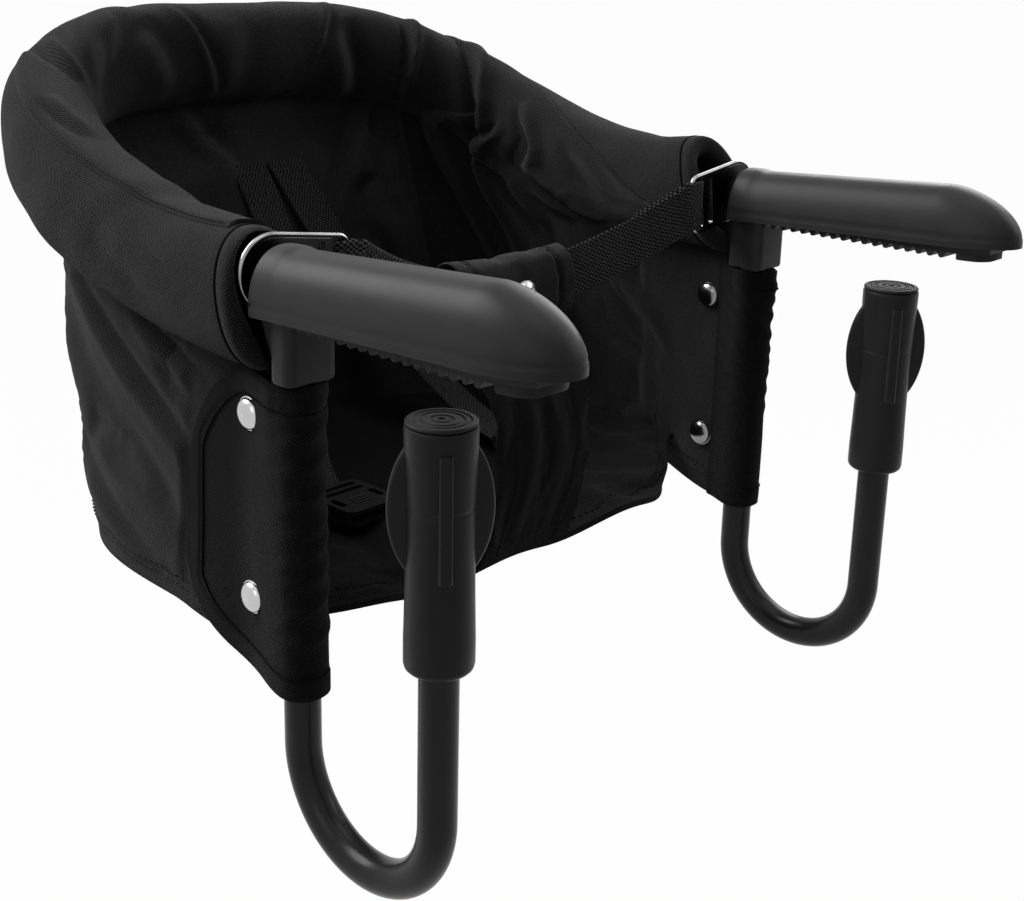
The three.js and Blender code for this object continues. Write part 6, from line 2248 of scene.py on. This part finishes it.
@dataclass
class LegFlap:
    """One cloth flap round a leg, with its snap caps."""

    side: Side
    walls: WallPlan
    finishes: Finishes
    cloth: float = 0.0020
    radius: float = 0.010
    setback: float = 0.011
    outer_run: float = 0.054
    inner_run: float = 0.0285
    top: float = -0.0276
    bottom: float = -0.1645
    back: float = 0.082
    back_rise: float = 0.003
    top_corner: Place = (0.046, 0.060)
    foot_corner: Place = (0.050, 0.045)
    snap_y: float = 0.037
    snap_radius: float = 0.0075
    snap_levels: tuple[tuple[str, float], ...] = (("upper", -0.046), ("lower", -0.129))
    thread: float = 0.00045
    binding: float = 0.010
    leg_place: float = 0.036
    rows: int = 72

    def build(self) -> None:
        """Builds the flap and its four caps."""
        self.flap()
        for word, level in self.snap_levels:
            outer = float(self.outer(np.array(self.snap_y), np.array(level)))
            inside = float(self.walls.outside(np.array(self.snap_y - self.snap_radius), np.array(level)))
            self.cap(f"{word}_flap_snap", outer - self.cloth / 2 - 0.0002, level, -1)
            self.cap(f"{word}_wall_snap", 0.0028 - inside, level, 1)

    def outer(self, y: Array, z: Array) -> Array:
        """Place across of the outer layer, which eases from the leg to the wall."""
        lying = -self.walls.outside(y, z) - 0.0004 - self.cloth / 2
        return lerp(-self.radius, lying, smooth((y - self.setback) / (self.outer_run - self.setback)))

    def inner(self, y: Array, z: Array) -> Array:
        """Place across of the inner layer, which starts on the wall's inner face."""
        lying = -self.walls.outside(y, z) + 0.0029 + self.cloth / 2
        return lerp(self.radius, lying, smooth((y - self.setback) / (self.inner_run - self.setback)))

    def cut(self, y: Array, corner: Place) -> Array:
        """How much the corner takes off there."""
        rounding = clamp01((y - self.back + corner[0]) / corner[0])
        return corner[1] * (1 - np.sqrt(1 - rounding ** 2))

    def middle(self) -> tuple[Array, Array]:
        """Wraps the plain flap round its leg.

        Returns:
            The flap's middle sheet about the arm's plane, and the distance along it.
        """
        turn = np.linspace(0, -math.pi, 56)
        arc_x, arc_y = self.radius * np.cos(turn), self.setback + self.radius * np.sin(turn)
        start_y = np.linspace(self.inner_run, self.setback, 16)[:-1]
        back_y = self.setback + (self.back - self.setback) * np.sin(np.linspace(0, math.pi / 2, 72))[1:]
        y = np.concatenate([start_y, arc_y, back_y])[:, None]
        behind = clamp01((y - self.setback) / (self.back - self.setback))
        outer = (np.arange(len(y)) > len(start_y) + 28)[:, None]
        lift = self.back_rise * behind + np.where(outer, self.cut(y, self.foot_corner), 0.0)
        high = self.top - np.where(outer, self.cut(y, self.top_corner), 0.0)
        z = lerp(high, self.bottom + lift, np.linspace(0, 1, self.rows)[None, :])
        first, last = len(start_y), len(start_y) + len(arc_y)
        x = np.concatenate([self.inner(y[:first], z[:first]), np.repeat(arc_x[:, None], self.rows, axis=1),
                            self.outer(y[last:], z[last:])])
        grid = np.stack([x, np.broadcast_to(y, z.shape), z], axis=2)
        return grid, reached(gaps(grid[:, self.rows // 2]))

    def pushed(self, grid: Array, along: Array) -> Array:
        """Folds and gathers of the flap.

        Args:
            grid: The plain flap.
            along: Distance along it.

        Returns:
            How far its folds and gathers stand out, level under the snaps.
        """
        far = self.side is Side.RIGHT
        y, z = grid[..., 1], grid[..., 2]
        from_leg = along[:, None] - self.leg_place
        round_leg = bump(from_leg, 0.024)
        wave = np.sin(2 * math.pi * along[:, None] / 0.017 + 2.0 * lumps(grid, 0.03, 81))
        push = (0.0016 if far else 0.0008) * wave * round_leg * np.exp(-np.linspace(0, 4, self.rows))
        upright = grid * np.array([1.0, 1.0, 0.4])
        push = push + 0.0009 * lumps(upright, 0.018, 82 + self.side.value) * round_leg
        for k in range(9):
            level = -0.036 - (0.0085 if far else 0.0125) * k - 0.002 * math.sin(5.0 * k)
            strength = (0.0017 - 0.00012 * k) if far else 0.0011
            slope = 0.45 + 0.15 * math.sin(3.0 * k)
            push = push + strength * round_leg * bump(z - level + slope * from_leg, 0.0030)
        behind = smooth((y - 0.016) / 0.02) * (from_leg > 0)
        rise = (z - self.bottom) / (self.top - self.bottom)
        push = push + behind * (0.0012 * lumps(grid, 0.045, 85) + 0.0010 * rise)
        for _, level in self.snap_levels:
            push = push * (1 - bump(np.hypot(y - self.snap_y, z - level), 0.013))
        return np.maximum(push, -0.0004)

    def flap(self) -> None:
        """Builds the flap with a bound free edge, its seam and folds where it goes round the leg."""
        grid, along = self.middle()
        outward = -sheet_normals(grid)
        if outward[110, :, 0].mean() > 0:
            outward = -outward
        grid = grid + outward * self.pushed(grid, along)[..., None]
        free = np.broadcast_to((along.max() - along)[:, None], grid.shape[:2])
        edge = reduce(np.minimum, [free, np.linalg.norm(grid - grid[:, :1], axis=2),
                                   np.linalg.norm(grid - grid[:, -1:], axis=2)])
        surface = Surface()
        surface.cloth(grid, self.cloth + 0.0011 * smooth((self.binding - edge) / 0.0008))
        self.seam(*self.hem_line(grid, outward))
        surface.placed(self.side, self.walls.rim.half)
        piece = surface.build(f"{self.side.word}_flap_cloth", 60)
        # The flap takes the darker copy of the canvas, painted shade.
        dress(piece, self.finishes.dark_canvas, Slot.CANVAS, SEAT, f"{self.side.word}_leg_flap")
        self.folding(piece)

    def folding(self, piece: Piece) -> None:
        """Gives a piece of the flap a mesh of its own."""
        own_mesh(piece)

    def seam(self, line: Array, facing: Array) -> None:
        """Builds the sewn line along the hem, near-black as painted shade of its groove.

        Args:
            line: Points one hem's width inside the flap's outline.
            facing: Directions out of the cloth there.
        """
        surface = Surface()
        surface.rod(evenly(line + facing * (self.cloth / 2 + 0.0004), 220), ACROSS, self.thread, 8)
        surface.placed(self.side, self.walls.rim.half)
        piece = surface.build(f"{self.side.word}_flap_seam", 60)
        # The hem's seam line is real; its near-black colour is painted shade of the groove.
        dress(piece, self.finishes.thread, Slot.CANVAS, SEAT)
        self.folding(piece)

    def hem_line(self, grid: Array, outward: Array) -> tuple[Array, Array]:
        """Finds the line of the hem's seam.

        Args:
            grid: The flap's middle sheet.
            outward: Directions out of it.

        Returns:
            A line one hem's width inside the free outline, and the directions out of the cloth along it.
        """
        y, high, low = grid[:, 0, 1], grid[:, 0, 2], grid[:, -1, 2]
        over: list[tuple[int, float]] = []
        under: list[tuple[int, float]] = []
        for column in range(30, len(grid) - 1):
            if column < 71 or y[column] < self.back - self.binding:
                step = max(abs(y[column + 1] - y[column]), 1e-4)
                tall = high[column] - low[column]
                slopes = (min(abs(edge[column + 1] - edge[column]) / step, 3.0) for edge in (high, low))
                first, last = (self.binding * math.hypot(1, slope) / tall for slope in slopes)
                if first < 1 - last:
                    over.append((column, first * (self.rows - 1)))
                    under.append((column, (1 - last) * (self.rows - 1)))
        column, first = over[-1]
        down = [(column, float(row)) for row in np.linspace(first, under[-1][1], 24)[1:-1]]
        route = over + down + under[::-1]
        line = [lerp(grid[c, int(r)], grid[c, min(int(r) + 1, self.rows - 1)], r - int(r)) for c, r in route]
        return np.array(line), np.array([outward[c, int(r)] for c, r in route])

    def cap(self, name: str, face: float, level: float, outward: int) -> None:
        """Builds a snap's cap.

        Args:
            name: Name of the snap, without its side.
            face: Place of its back across, about the arm's plane, +x inwards.
            level: Its height.
            outward: -1 on the flap's outside, 1 on the wall's inside.
        """
        surface = Surface()
        surface.turned(SnapCap(self.snap_radius).profile(), (0, 0, 0))
        piece = surface.build(f"{self.side.word}_{name}_cap", 60)
        sign = -self.side.value
        place = Matrix.Translation((self.side.value * self.walls.rim.half + sign * face, self.snap_y, level))
        piece.data.transform(place @ Matrix.Rotation(sign * outward * math.pi / 2, 4, "Y"))
        # Caps on the wall's inner face take the darker copy of the snap metal, painted shade.
        finish = self.finishes.chrome if outward < 0 else self.finishes.shade_painted_chrome
        dress(piece, finish, Slot.SNAP, SEAT, f"{self.side.word}_{name}")


# Studio


@dataclass
class Studio:
    """Pale floor, soft lights, white surroundings and the photo's camera."""

    floor_level: float = -0.75
    floor_half: float = 40.0
    eye: tuple[float, float, float] = (-0.49634, -0.42272, 0.14133)
    right: tuple[float, float, float] = (0.711628, -0.702395, 0.015077)
    upward: tuple[float, float, float] = (0.173993, 0.196991, 0.964842)
    forward: tuple[float, float, float] = (0.680670, 0.683985, -0.262396)
    lens: float = 49.78
    shift: Place = (0.0449, -0.1128)
    ambient: float = 0.05
    floor_white: float = 0.98
    aim: tuple[float, float, float] = (0.0, 0.05, -0.05)

    def build(self) -> None:
        """Builds the studio."""
        self.floor()
        self.surroundings()
        self.lamp("key_softbox", (-0.85, 1.35, 1.40), 1.5, 60.0)
        self.lamp("left_softbox", (-1.80, -0.40, 0.70), 1.0, 3.0)
        self.lamp("front_softbox", (1.70, -0.80, 1.00), 1.2, 8.0)
        self.lamp("top_softbox", (0.10, -0.20, 2.10), 1.6, 10.0)
        self.lamp("right_softbox", (1.90, 0.60, 0.90), 1.4, 22.0)
        self.camera()

    def white_to_eye(self, tree: bpy.types.NodeTree, dim: Socket, white: Socket, strength: float) -> Socket:
        """Shows the eye a white shader in place of a dim one.

        Args:
            tree: A node tree.
            dim: The shader that lights the seat.
            white: The shader that the eye and its reflections see.
            strength: Share of white that they see.

        Returns:
            The two shaders, mixed.
        """
        path = tree.nodes.new("ShaderNodeLightPath")
        seen = path.outputs["Is Camera Ray"]
        rays = [("MAXIMUM", path.outputs[f"Is {kind} Ray"]) for kind in ("Glossy", "Transmission")]
        for operation, value in (*rays, ("MULTIPLY", strength)):
            node = tree.nodes.new("ShaderNodeMath")
            node.operation = operation
            tree.links.new(seen, node.inputs[0])
            if isinstance(value, Socket):
                tree.links.new(value, node.inputs[1])
            else:
                node.inputs[1].default_value = value
            seen = node.outputs[0]
        mix = tree.nodes.new("ShaderNodeMixShader")
        for socket, source in zip(mix.inputs, (seen, dim, white)):
            tree.links.new(source, socket)
        return mix.outputs[0]

    def floor(self) -> None:
        """Makes the floor far below the hanging seat, where a table stands."""
        h, low = self.floor_half, self.floor_level
        surface = Surface()
        surface.grid(np.array([[(-h, -h, low), (h, -h, low)], [(-h, h, low), (h, h, low)]]))
        plane = surface.build("studio_floor")
        sheet = NodeSheet("pale_floor")
        sheet.put(sheet.shader.inputs["Base Color"], (0.4, 0.4, 0.4, 1.0))
        sheet.put(sheet.shader.inputs["Roughness"], 0.9)
        white = sheet.add("ShaderNodeEmission").outputs[0]
        seen = self.white_to_eye(sheet.tree, sheet.shader.outputs[0], white, self.floor_white)
        sheet.put(sheet.tree.nodes["Material Output"].inputs["Surface"], seen)
        plane.data.materials.append(sheet.material)

    def surroundings(self) -> None:
        """Sets even grey light that the eye sees as white."""
        scene = bpy.context.scene
        scene.view_settings.view_transform = "Standard"
        world = bpy.data.worlds.new("white_studio")
        world.use_nodes = True
        tree = world.node_tree
        dim, white = tree.nodes["Background"], tree.nodes.new("ShaderNodeBackground")
        for node, strength in ((dim, self.ambient), (white, 1.0)):
            node.inputs["Color"].default_value = (1.0, 1.0, 1.0, 1.0)
            node.inputs["Strength"].default_value = strength
        seen = self.white_to_eye(tree, dim.outputs[0], white.outputs[0], 1.0)
        tree.links.new(seen, tree.nodes["World Output"].inputs["Surface"])
        scene.world = world

    def lamp(self, name: str, place: Sequence[float], size: float, power: float) -> None:
        """Adds a round soft lamp that faces the seat.

        Args:
            name: The lamp's name.
            place: Where it stands.
            size: Width of its soft face.
            power: Its power in watts.
        """
        data = bpy.data.lights.new(name, "AREA")
        data.shape = "DISK"
        data.size = size
        data.energy = power
        lamp = linked(name, data)
        lamp.location = place
        lamp.rotation_euler = (Vector(self.aim) - Vector(place)).to_track_quat("-Z", "Y").to_euler()

    def camera(self) -> None:
        """Sets up the camera where the photo was taken."""
        data = bpy.data.cameras.new("photo_camera")
        data.lens = self.lens
        data.sensor_fit = "HORIZONTAL"
        data.sensor_width = 36.0
        data.shift_x, data.shift_y = self.shift
        data.clip_start = 0.01
        eye = linked("photo_camera", data)
        columns = [Vector(self.right), Vector(self.upward), -Vector(self.forward)]
        eye.matrix_world = Matrix.Translation(self.eye) @ Matrix(columns).transposed().to_4x4()
        bpy.context.scene.camera = eye


def dress_hidden(finishes: Finishes) -> None:
    """Gives the CAD pieces that stay, all of them inside others, their finishes.

    Args:
        finishes: The seat's finishes.
    """
    for side in Side:
        for name in ("rim_plug", "thread_plug"):
            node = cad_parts[f"{side.word}_{name}"]
            node.data.materials.clear()
            node.data.materials.append(finishes.inner)
            LOG.info("kept %s", node.name)


def main() -> None:
    """Builds the seat piece by piece."""
    finishes = Finishes()
    rim = RimPlan()
    walls = WallPlan(rim)
    RimAssembly(rim, finishes).build()
    Bucket(walls, finishes).build()
    Harness(walls, finishes).build()
    for side in Side:
        TableArm(side, rim, finishes).build()
        ClampLeg(side, rim, finishes).build()
        LegFlap(side, walls, finishes).build()
    dress_hidden(finishes)
    Studio().build()


if __name__ == "__main__":
    main()
